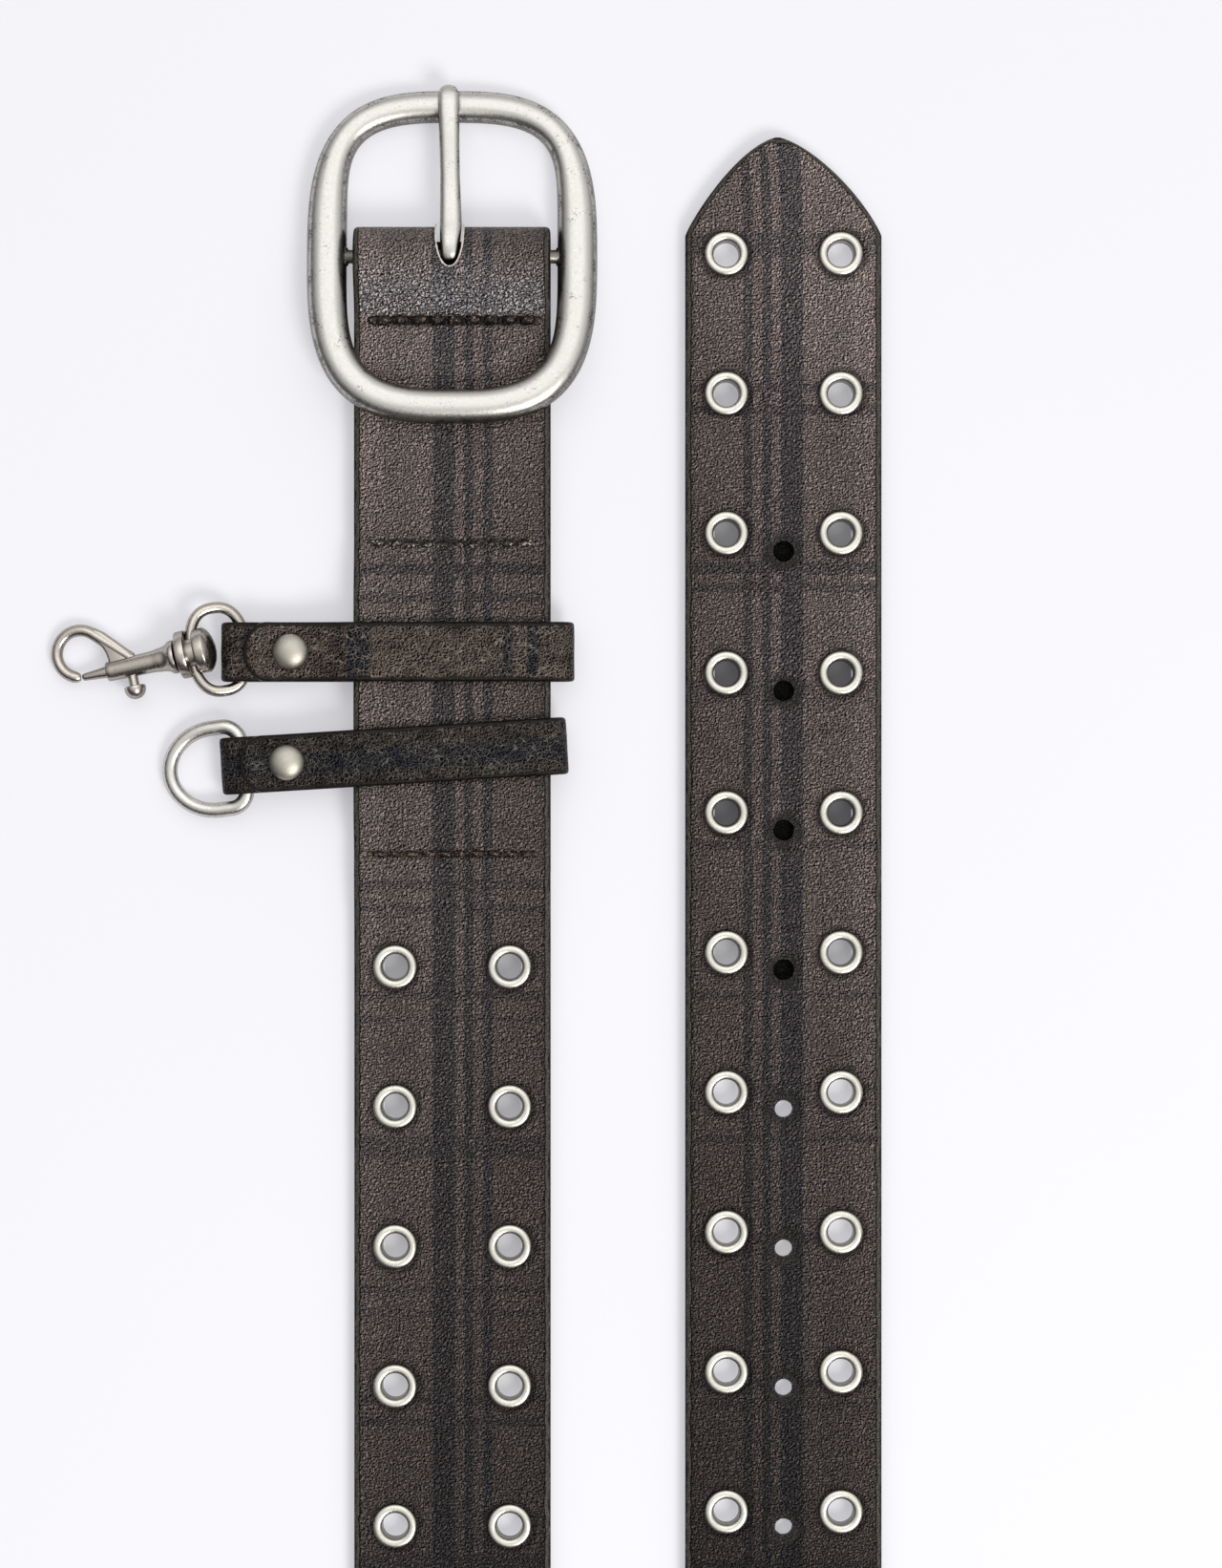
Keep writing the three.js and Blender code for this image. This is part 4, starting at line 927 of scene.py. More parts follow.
def wire_ring(points, wide, high):
    """A closed ring of wire along points in a plane, with a radius in the plane and one across it."""
    rings = []
    for i, point in enumerate(points):
        onward = points[(i + 1) % len(points)] - points[i - 1]
        rings.append(round_ring(point, onward.cross(UP).normalized() * wide, UP * high, 20))
    bm = bmesh.new()
    shell(bm, rings, closed=True)
    return bm


class BELT_OT_rings(bpy.types.Operator):
    """Build the oval ring of the snap hook and the D-ring"""
    bl_idname = "belt.rings"
    bl_label = "Rings"

    def execute(self, context):
        hook_strap, ring_strap = SMALL_STRAPS
        points = []
        for angle in full_turn(96):
            distance = oblong(5.6, 8.5, 2.45, angle)
            points.append(Vector((distance * math.cos(angle), distance * math.sin(angle), 0)))
        bm = wire_ring(points, hook_strap["wire_radius"], hook_strap["wire_radius"])
        fold_z = fold_height(hook_strap)
        slope = math.asin((DRUM_HEIGHT - fold_z) / 11.2)
        place = Matrix.Translation((-81.15, -85.75, (DRUM_HEIGHT + fold_z) / 2)) \
            @ Matrix.Rotation(math.radians(8.5), 4, "Z") @ Matrix.Rotation(slope, 4, "Y")
        bmesh.ops.transform(bm, matrix=place, verts=bm.verts)
        finish_piece("oval_ring_plated", bm, polished_nickel(), "strap_side", ["oval_ring"])
        # The D-ring's bow, and then its straight side with a rounded corner at each end
        points = []
        half = 8.35
        depth = 5.9
        bow = 9.5
        corner = 3.6
        for i in range(57):
            angle = math.pi / 2 + math.pi * i / 56
            points.append(Vector((-depth + bow * math.cos(angle), half * math.sin(angle), 0)))
        for side in (-1, 1):
            for i in range(15):
                angle = ((i - 14) if side < 0 else i) * math.pi / 28
                points.append(Vector((-corner + corner * math.cos(angle),
                                      side * (half - corner) + corner * math.sin(angle), 0)))
        bm = wire_ring(points, 1.52, 1.38)
        fold_z = fold_height(ring_strap)
        slope = math.asin((fold_z - 1.5) / (depth + bow))
        place = small_strap_place(ring_strap) @ Matrix.Translation((ring_strap["wire_x"], 0, fold_z)) \
            @ Matrix.Rotation(math.radians(4.2), 4, "Z") @ Matrix.Rotation(-slope, 4, "Y")
        bmesh.ops.transform(bm, matrix=place, verts=bm.verts)
        finish_piece("d_ring_plated", bm, ring_nickel(), "ring", ["d_ring"])
        return {"FINISHED"}


def hook_place(roll):
    """Puts a piece of the snap hook that was made along X, and rolled about it, at its place."""
    start = Vector((HOOK_X, HOOK_Y, DRUM_HEIGHT - GROOVE_MIDDLE * math.sin(HOOK_RISE)))
    return Matrix.Translation(start) @ Matrix.Rotation(HOOK_HEADING, 4, "Z") \
        @ Matrix.Rotation(-HOOK_RISE, 4, "Y") @ Matrix.Rotation(roll, 4, "X")


def spun_along(bm, profile, steps):
    """Turns a profile of radius and distance about the X axis."""
    spun(bm, profile, steps, Matrix.Rotation(math.pi / 2, 4, "Y"))


class BELT_OT_snap_hook(bpy.types.Operator):
    """Build the swivel drum, the hook and its sliding bolt"""
    bl_idname = "belt.snap_hook"
    bl_label = "Snap hook"

    def execute(self, context):
        metal = polished_nickel()
        bm = bmesh.new()
        spun_along(bm, [
            (1.4, 15.3), (4.55, 15.3), (4.75, 15.37), (4.85, 15.6), (4.85, 17.0), (4.75, 17.22), (4.55, 17.3),
            (2.1, 17.3), (2.1, 15.75), (1.4, 15.75), (1.4, 15.3)], 56)
        spun_along(bm, [
            (0, 19.6), (4.55, 19.6), (4.62, 20.9), (4.58, 21.1), (4.4, 21.3), (4.15, 21.6), (3.6, 22.0),
            (2.8, 22.4), (1.8, 22.7), (0.9, 22.85), (0, 22.9)], 56)
        outline = ((17.25, 3.1), (18.95, 3.1), (19.0, 4.2), (19.1, 4.42), (19.25, 4.52), (19.6, 4.55))
        for side in (-1, 1):
            rings = []
            for u, radius in outline:
                begin = math.asin(1.45 / radius)
                ring = []
                for i in range(25):
                    angle = side * mix(begin, math.pi - begin, i / 24)
                    ring.append(Vector((u, radius * math.cos(angle), radius * math.sin(angle))))
                rings.append(ring)
            shell(bm, rings)
        bmesh.ops.transform(bm, matrix=hook_place(0), verts=bm.verts)
        finish_piece("swivel_drum_plated", bm, metal, "strap_side", ["swivel_drum"])
        self.hook(metal)
        self.bolt(metal)
        return {"FINISHED"}

    def hook(self, metal):
        """Builds the loop, the web, the barrel and the swivel pin"""
        bm = bmesh.new()
        spun_along(bm, [
            (1.35, 10.9), (1.35, 0.0), (1.85, 0.0), (1.97, 0.2), (2.02, 1.0), (2.2, 9.6), (2.28, 10.4),
            (2.4, 10.9), (2.45, 11.5), (2.55, 12.2), (2.8, 12.9), (3.2, 13.4), (3.4, 13.8), (3.44, 14.2),
            (3.36, 14.6), (3.15, 14.75), (1.1, 14.8), (1.1, 15.9), (1.7, 15.9), (1.8, 16.0), (1.8, 16.5),
            (1.5, 16.65), (0, 16.65), (0, 10.9), (1.35, 10.9)], 48)
        steps = 60
        wire = 1.2
        loop = 4.8
        tip = math.radians(260)
        spine = math.radians(46.5)
        sweep = tip - spine
        rings = []
        for i in range(steps + 1):
            distance = (loop * sweep + 2 * loop) * i / steps
            angle = tip - min(distance / loop, sweep)
            onward = max(distance - loop * sweep, 0)
            centre = Vector((-4.9 + loop * math.cos(angle) + onward * math.sin(spine),
                             4.85 + loop * math.sin(angle) - onward * math.cos(spine), 0))
            outward = Vector((math.cos(angle), math.sin(angle), 0))
            radius = wire * min(1, 0.6 + 0.4 * math.sqrt(i / 3))
            rings.append(round_ring(centre, outward * radius, UP * radius, 20))
        shell(bm, rings)
        outline = [(-2.6, 8.1), (-1.7, 7.1), (-0.6, 5.9), (0.1, 4.9), (0.5, 3.8), (0.72, 2.5), (0.75, 1.0),
                   (6.4, 1.0), (6.3, 2.1), (4.7, 3.9), (2.7, 6.1), (0.7, 8.2), (-0.9, 9.4)]
        web = 2.1
        raised = prism(bm, [(u, v, -web / 2) for u, v in outline], web)
        rims = [edge for edge in edges_of(raised) if all(vert in raised for vert in edge.verts)]
        bmesh.ops.bevel(bm, geom=rims, offset=0.6, segments=4, profile=0.5, affect="EDGES", material=-1)
        bmesh.ops.transform(bm, matrix=hook_place(HOOK_ROLL), verts=bm.verts)
        finish_piece("hook_body_plated", bm, metal, "hook", ["hook_body"])

    def bolt(self, metal):
        """Builds the bolt with its stem and knob"""
        bm = bmesh.new()
        spun_along(bm, [
            (0, -5.3), (0.5, -5.28), (0.7, -5.1), (0.78, -4.7), (1.05, -1.6), (1.2, -0.2), (1.2, 6.1),
            (0, 6.1)], 28)
        down = Matrix.Translation((4.95, 0, 0)) @ Matrix.Rotation(math.pi / 2, 4, "X")
        spun(bm, [
            (0, 0), (1.0, 0), (1.02, 4.0), (1.9, 4.02), (2.15, 4.15), (2.22, 4.45), (2.15, 5.0), (1.95, 5.55),
            (1.6, 6.05), (1.1, 6.45), (0.5, 6.66), (0, 6.7)], 36, down)
        bmesh.ops.transform(bm, matrix=hook_place(HOOK_ROLL), verts=bm.verts)
        finish_piece("hook_bolt_plated", bm, metal, "bolt", ["hook_bolt"])


class BELT_OT_stitches(bpy.types.Operator):
    """Build the three rows of stitches and the knots at their ends"""
    bl_idname = "belt.stitches"
    bl_label = "Stitches"

    def execute(self, context):
        thick = context.scene.belt_leather.thickness / MM
        for number, row in enumerate(STITCH_ROWS):
            bm = bmesh.new()
            pitch = (row["right"] - row["left"]) / row["count"]
            gap = 0.3
            for i in range(row["count"]):
                start = row["left"] + pitch * i + gap / 2
                self.stitch(bm, row, start, start + pitch - gap, thick, i)
            for side in ("left", "right"):
                self.knot(bm, row, row[side], thick)
            material = waxed_thread(number)
            finish_piece("stitches_%d" % (number + 1), bm, material, "strap_side", None)
        return {"FINISHED"}

    def height(self, y, thick):
        """Height of the leather's face below a row"""
        return front_under(y)[0] + thick - stitch_dent(y)

    def stitch(self, bm, row, start, end, thick, number):
        """One stitch: a twisted thread that dips into the leather at both ends"""
        rings = []
        steps = 16
        lean = random.uniform(0.25, 0.5) * (1 if row["radius"] > 0.5 else -0.4)
        for i in range(steps + 1):
            part = i / steps
            x = LEFT_X + mix(start, end, part)
            across = (x - LEFT_X) / 17
            y = row["y"] - row["bow"] * (1 - across * across) + lean * (part - 0.5)
            arch = math.sin(math.pi * part)
            z = self.height(row["y"], thick) - 0.2 + (row["radius"] + 0.25) * arch ** 0.5
            ring = []
            for angle in full_turn(14):
                ply = 1 + 0.16 * math.cos(3 * (angle + part * 5 + number))
                reach = row["radius"] * (0.35 + 0.65 * arch ** 0.4) * ply
                ring.append(Vector((x, y + reach * math.cos(angle), z + reach * math.sin(angle))))
            rings.append(ring)
        shell(bm, rings)

    def knot(self, bm, row, offset, thick):
        """The lump where a thread goes back through the leather"""
        centre = Vector((LEFT_X + offset, row["y"], self.height(row["y"], thick) + 0.1))
        made = bmesh.ops.create_icosphere(bm, subdivisions=3, radius=row["radius"] * 1.2)["verts"]
        for vert in made:
            rough = 1 + 0.3 * noise.noise(vert.co * 1.7 + centre)
            vert.co = Vector((vert.co.x * 1.3, vert.co.y, vert.co.z * 0.6)) * rough + centre


# The stage, in metres: the floor, just below the strap, the camera over the middle of the
# picture, with its focal length and picture height in pixels, and the lamps round it
FLOOR_HALF = 2.5
FLOOR_DROP = 0.1 * MM
PICTURE_MIDDLE = Vector((-1.41, -113.1, 0))
CAMERA_HEIGHT = 0.970
FOCAL_PIXELS = 4976
PICTURE_PIXELS = 1642
SENSOR = 36.0
LAMPS = (
    {"name": "key", "place": (0.65, -0.85, 1.25), "size": (0.6, 0.6), "watts": 14.0, "tint": "#fffdf9"},
    {"name": "softbox", "place": (0.0, 0.75, 1.5), "size": (1.5, 1.2), "watts": 4.0, "tint": "#fbfbff"},
)


class BELT_OT_stage(bpy.types.Operator):
    """Set the pale floor, the lights and the camera"""
    bl_idname = "belt.stage"
    bl_label = "Stage"

    def execute(self, context):
        scene = context.scene
        bm = bmesh.new()
        bmesh.ops.create_grid(bm, x_segments=1, y_segments=1, size=FLOOR_HALF)
        mesh = bpy.data.meshes.new("floor")
        bm.to_mesh(mesh)
        bm.free()
        floor = bpy.data.objects.new("floor", mesh)
        floor.location.z = -FLOOR_DROP
        scene.collection.objects.link(floor)
        mesh.materials.append(pale_floor())
        centre = (PICTURE_MIDDLE + HOME) * MM
        for lamp in LAMPS:
            light = bpy.data.lights.new(lamp["name"], "AREA")
            light.shape = "RECTANGLE"
            light.size, light.size_y = lamp["size"]
            light.energy = lamp["watts"]
            light.color = linear(lamp["tint"])[:3]
            holder = bpy.data.objects.new(lamp["name"], light)
            holder.location = centre + Vector(lamp["place"])
            holder.rotation_euler = (centre - holder.location).to_track_quat("-Z", "Y").to_euler()
            scene.collection.objects.link(holder)
        scene.world = studio_world()
        camera = bpy.data.cameras.new("camera")
        camera.sensor_fit = "VERTICAL"
        camera.sensor_height = SENSOR
        camera.lens = SENSOR * FOCAL_PIXELS / PICTURE_PIXELS
        camera.clip_start = 0.05
        holder = bpy.data.objects.new("camera", camera)
        holder.location = centre + UP * CAMERA_HEIGHT
        scene.collection.objects.link(holder)
        scene.camera = holder
        scene.view_settings.view_transform = "Standard"
        return {"FINISHED"}


def studio_world():
    """A white room that gets dark toward one side, for the metals to show."""
    world = bpy.data.worlds.new("studio")
    world.use_nodes = True
    tree = world.node_tree
    towards = add_node(tree, "TexCoord", out="Generated")
    height = add_node(tree, "VectorMath", (towards, (0.15, 0.42, 0.9)), "Value", operation="DOT_PRODUCT")
    colour = add_node(tree, "ValToRGB", (height,))
    low, high = colour.node.color_ramp.elements
    low.position, low.color = 0.2, linear("#3a3a3e")
    high.position, high.color = 0.9, linear("#ffffff")
    background = tree.nodes["Background"]
    tree.links.new(colour, background.inputs["Color"])
    background.inputs["Strength"].default_value = 0.9
    return world


# Materials. A noise's scale is the number of its lumps to a millimetre

def leather_grain(add, place, pebble):
    """Creases between the pebbles of a grain: 0 along a crease, and 1 on top of a pebble."""
    bend = add("TexNoise", {"Vector": place, "Scale": 0.5 / pebble, "Detail": 2.0}, "Color")
    bend = add("VectorMath", (bend, (0.5, 0.5, 0.5)), operation="SUBTRACT")
    push = add("VectorMath", {0: bend, "Scale": pebble * 1.5}, operation="SCALE")
    bent = add("VectorMath", (place, push), operation="ADD")
    cells = add("TexVoronoi", {"Vector": bent, "Scale": 1 / pebble}, "Distance", feature="DISTANCE_TO_EDGE")
    return add("MapRange", {0: cells, 2: 0.22}, interpolation_type="SMOOTHSTEP")


def painted_grain_relief(add, place, width, spread):
    """Painted light and shade of a fine grain, from 0 to 1: a noise's rise toward one side, so each lump is
    painted pale on one flank and dark on the other, as if lit from that side.
    """
    beside = add("VectorMath", (place, (width * 0.3, -width * 0.25, 0.0)), operation="ADD")
    heights = [
        add("TexNoise", {"Vector": spot, "Scale": 1 / width, "Detail": 3.0, "Roughness": 0.6})
        for spot in (place, beside)]
    rise = add("Math", heights, operation="SUBTRACT")
    return add("MapRange", {0: rise, 1: -spread, 2: spread})


def printed_stripes(add, across, along):
    """How much ink the printed check has at a place: bars of a ragged twill, both ways."""
    bars = [(across, *stripe) for stripe in LONG_STRIPES]
    bars += [(along, *stripe) for stripe in FOLD_STRIPES]
    bars += [(along, STRAP_LENGTH - back, half, depth) for back, half, depth in TIP_STRIPES]
    at = FOLD_STRIPES[-1][0] + HIDDEN_STRIPE_PITCH
    while at < STRAP_LENGTH - TIP_STRIPES[-1][0] - 10:
        bars.append((along, at, 0.9 + 1.2 * (int(at) % 2), 0.5))
        at += HIDDEN_STRIPE_PITCH
    ink = 0.0
    for way, middle, half, depth in bars:
        hit = add("Math", (way, middle, half), operation="COMPARE")
        hit = add("Math", (hit, depth), operation="MULTIPLY")
        ink = add("Math", (ink, hit), operation="MAXIMUM")
    return ink


def strap_marks(add, axes="XY"):
    """What the two UV maps of a strap tell, along the axes that are asked for.

    Their X is the offset across and the distance from the edge, their Y the distance along and
    the level."""
    maps = [add("UVMap", uv_map=name) for name in ("pattern", "rim")]
    return [add("SeparateXYZ", (uv,), axis) for uv in maps for axis in axes]


def hole_distance(add, across, along, first, pitch, count, offset):
    """Distance in millimetres from the nearest hole of a row of holes along the strap."""
    last = first + (count - 1) * pitch
    near = add("Math", (along, first + pitch / 2, first - pitch / 2), operation="WRAP")
    near = add("Math", (near, first), operation="SUBTRACT")
    low = add("Math", (first - pitch / 2, along), operation="SUBTRACT")
    high = add("Math", (along, last + pitch / 2), operation="SUBTRACT")
    outside = add("Math", (low, high), operation="MAXIMUM")
    outside = add("Math", (outside, 0.0), operation="GREATER_THAN")
    beside = add("Math", (across,), operation="ABSOLUTE")
    beside = add("Math", (beside, offset), operation="SUBTRACT")
    spot = add("CombineXYZ", (near, beside))
    distance = add("VectorMath", (spot,), "Value", operation="LENGTH")
    return add("Math", (outside, 50.0, distance), operation="MULTIPLY_ADD")


def printed_leather(context):
    """Pebbled cowhide with a printed twill check, burnished and painted along its edges.

    The print gives a brown ground crossed by ragged navy bars. The fine grain breaks the light into small
    glints, and it also carries painted light and shade on its flanks and creases. The burnished edges and the
    leather round the punched holes look dark and smooth. Shade is painted round the eyelets, along the stitch
    rows and away from the strap's ends, and a sheen is painted on the slope below the bar."""
    colours = context.scene.belt_colours
    leather = context.scene.belt_leather
    material, add, shader = new_material("printed_pebbled_cowhide", IOR=1.5)
    place = add("TexCoord", out="Object")
    across, along, edge, level = strap_marks(add)
    creases = leather_grain(add, place, leather.grain)
    # The real grain is near 0.2 mm wide, too fine to show, so it is drawn twice as wide
    relief_light_and_shade = painted_grain_relief(add, place, 0.42 * MM, 0.075)
    fine, cloud, patch, ragged = (
        add("TexNoise", {"Vector": place, "Scale": scale / MM, "Detail": detail})
        for scale, detail in ((1.9, 3.0), (0.07, 4.0), (0.42, 3.0), (1.3, 2.0)))
    shift = add("Math", (ragged, 1.7, -0.85), operation="MULTIPLY_ADD")
    ragged_across = add("Math", (across, shift), operation="ADD")
    ragged_along = add("Math", (along, shift), operation="ADD")
    ink = printed_stripes(add, ragged_across, ragged_along)
    twill = add("Math", (across, ragged_along), operation="ADD")
    twill = add("Math", (twill, 5.4), operation="MULTIPLY")
    twill = add("Math", (twill,), operation="SINE")
    twill = add("MapRange", {0: twill, 1: -0.6, 2: 0.6, 3: 0.5})
    ink = add("Math", (ink, twill), operation="MULTIPLY")
    deep, pale = ((*[part * share for part in colours.leather], 1) for share in (0.8, 1.25))
    brown = add("Mix", {0: cloud, 6: deep, 7: pale}, 2, data_type="RGBA")
    colour = add("Mix", {0: ink, 6: brown, 7: (*colours.check, 1)}, 2, data_type="RGBA")
    # Painted shade: the strap is painted darker away from both its ends, standing in for light that falls off
    # toward the middle of its length, and it is darker toward its inner side and paler toward its outer one
    far = add("Math", (STRAP_LENGTH, along), operation="SUBTRACT")
    near = add("Math", (along, far), operation="MINIMUM")
    close = add("MapRange", {0: near, 1: 32.0, 2: 62.0, 3: 1.0, 4: 0.68})
    middle = add("MapRange", {0: near, 1: 110.0, 2: 290.0, 3: 1.0, 4: 0.31})
    outer = add("MapRange", {0: across, 1: -19.0, 2: 19.0, 3: 1.18, 4: 0.7})
    painted_falloff = add("Math", (close, middle), operation="MULTIPLY")
    painted_falloff = add("Math", (painted_falloff, outer), operation="MULTIPLY")
    colour = add("VectorMath", {0: colour, "Scale": painted_falloff}, operation="SCALE")
    # Painted sheen where the strap bends hard round the bar: a bluish-grey painted highlight of the light on
    # the slope down from the bar, where the creases are also painted darker, as cracks
    bend = add("MapRange", {0: along, 1: 4.5, 2: 13.0}, interpolation_type="SMOOTHSTEP")
    over = add("MapRange", {0: along, 1: 15.8, 2: 18.8, 3: 1.0, 4: 0.0}, interpolation_type="SMOOTHSTEP")
    bend = add("Math", (bend, over), operation="MULTIPLY")
    painted_sheen = add("MapRange", {0: cloud, 1: 0.3, 2: 0.6, 3: 0.3, 4: 0.55})
    painted_sheen = add("Math", (bend, painted_sheen), operation="MULTIPLY")
    colour = add("Mix", {0: painted_sheen, 6: colour, 7: linear("#a3a1a5")}, 2, data_type="RGBA")
    depth = add("MapRange", {0: bend, 3: 0.7, 4: 0.35})
    # Painted shade round the eyelets, where the bump also dips the leather to them, and dark smudges round
    # the punched holes
    eyelet = hole_distance(add, across, along, FIRST_ROW, ROW_PITCH, ROW_COUNT, EYELET_SPREAD)
    punch = STRAP_LENGTH - FIRST_PUNCH - (PUNCH_COUNT - 1) * PUNCH_PITCH
    punched = hole_distance(add, across, along, punch, PUNCH_PITCH, PUNCH_COUNT, 0.0)
    wavy = add("Math", (patch, 2.4, -1.2), operation="MULTIPLY_ADD")
    eyelet = add("Math", (eyelet, wavy), operation="ADD")
    pressed = add("MapRange", {0: eyelet, 1: 4.3, 2: 5.9, 3: 0.75, 4: 0.0}, interpolation_type="SMOOTHSTEP")
    smudged = add("Math", (wavy, 2.0, punched), operation="MULTIPLY_ADD")
    smudge = add("MapRange", {0: smudged, 1: 2.6, 2: 4.6, 3: 0.95, 4: 0.0}, interpolation_type="SMOOTHSTEP")
    dark = add("Math", (pressed, smudge), operation="MAXIMUM")
    # Painted shade along each row of stitches, in the groove that the threads pull
    for row in STITCH_ROWS:
        seam = add("Math", (ragged_along, row["y"]), operation="ADD")
        seam = add("Math", (seam,), operation="ABSOLUTE")
        thread = row["radius"]
        seam = add("MapRange", {0: seam, 1: thread * 0.8, 2: thread + 0.4, 3: thread + 0.2, 4: 0.0})
        reach = (row["right"] - row["left"]) / 2 + 0.5
        sewn = add("Math", (across, (row["right"] + row["left"]) / 2, reach), operation="COMPARE")
        seam = add("Math", (seam, sewn), operation="MULTIPLY")
        dark = add("Math", (dark, seam), operation="MAXIMUM")
    colour = add("Mix", {0: dark, 6: colour, 7: linear("#1f1b1a")}, 2, data_type="RGBA")
    # Burnished band along the edge, then the paint of the edge itself
    uneven = add("Math", (patch, 0.9, edge), operation="MULTIPLY_ADD")
    band = add("MapRange", {0: uneven, 1: 1.5, 2: 1.75, 3: 1.0, 4: 0.0}, interpolation_type="SMOOTHSTEP")
    paint = add("MapRange", {0: uneven, 1: 0.7, 2: 0.9, 3: 1.0, 4: 0.0})
    groove = add("Math", (uneven, 1.62, 0.14), operation="COMPARE")
    paint = add("Math", (groove, 0.7, paint), operation="MULTIPLY_ADD", use_clamp=True)
    # The back is bare suede
    back = add("Math", (level, -0.8), operation="LESS_THAN")
    suede = add("Mix", {0: fine, 6: linear("#2e2723"), 7: linear("#5a4d44")}, 2, data_type="RGBA")
    for amount, tint in ((band, linear("#45413b")), (paint, linear("#0d0c0b")), (back, suede)):
        colour = add("Mix", {0: amount, 6: colour, 7: tint}, 2, data_type="RGBA")
    # Painted light and shade of the grain: each lump is painted pale on one flank and dark on the other, as
    # if lit from one side, and the creases are painted dark as shade. Both are weaker where the leather is
    # smooth, and over the top of the fold the pale flanks are painted less bright and the grain is smoother.
    smooth = add("Math", (band, dark), operation="MAXIMUM")
    start = add("MapRange", {0: along, 1: 3.0, 2: 8.0, 3: 0.6, 4: 0.0})
    smooth = add("Math", (smooth, start), operation="MAXIMUM")
    glow = add("MapRange", {0: start, 2: 0.6, 3: 3.3, 4: 2.2})
    painted_relief = add("MapRange", {0: relief_light_and_shade, 3: -0.7, 4: glow})
    crease = add("MapRange", {0: creases, 3: depth, 4: 1.05})
    painted_relief = add("Math", (painted_relief, crease), operation="MULTIPLY")
    even = add("MapRange", {0: smooth, 3: 0.0, 4: 0.8})
    painted_relief = add("Mix", {0: even, 2: painted_relief, 3: 1.0})
    colour = add("VectorMath", {0: colour, "Scale": painted_relief}, operation="SCALE")
    # No light comes back out of the creases, or off the matt edge paint
    shine = add("MapRange", {0: relief_light_and_shade, 1: 0.2, 2: 0.9, 3: 0.08, 4: 0.4})
    shine = add("Mix", {0: paint, 2: shine, 3: 0.04})
    rough = add("MapRange", {0: fine, 1: 0.3, 2: 0.7, 3: 0.34, 4: 0.6})
    rough = add("Math", (smooth, -0.08, rough), operation="MULTIPLY_ADD")
    grain = add("Math", (creases, 0.45), operation="MULTIPLY")
    grain = add("Math", (fine, 0.75, grain), operation="MULTIPLY_ADD")
    keep = add("MapRange", {0: smooth, 3: 1.0, 4: 0.25})
    grain = add("Math", (grain, keep), operation="MULTIPLY")
    grain = add("Math", (pressed, -1.1, grain), operation="MULTIPLY_ADD")
    bump = add("Bump", {"Height": grain, "Strength": 1.0, "Distance": 0.0008})
    plug(shader, Base_Color=colour, Specular_IOR_Level=shine, Roughness=rough, Normal=bump)
    return material


def cut_edge_highlight():
    """The slot's cut edge, painted nearly white against its finished face: a painted highlight."""
    material, add, shader = new_material("slot_edge_painted_highlight", Roughness=0.8)
    place = add("TexCoord", out="Object")
    fibre = add("TexNoise", {"Vector": place, "Scale": 1.5 / MM, "Detail": 2.0})
    colour = add("Mix", {0: fibre, 6: linear("#c9beb0"), 7: linear("#f6f0e6")}, 2, data_type="RGBA")
    plug(shader, Base_Color=colour)
    return material


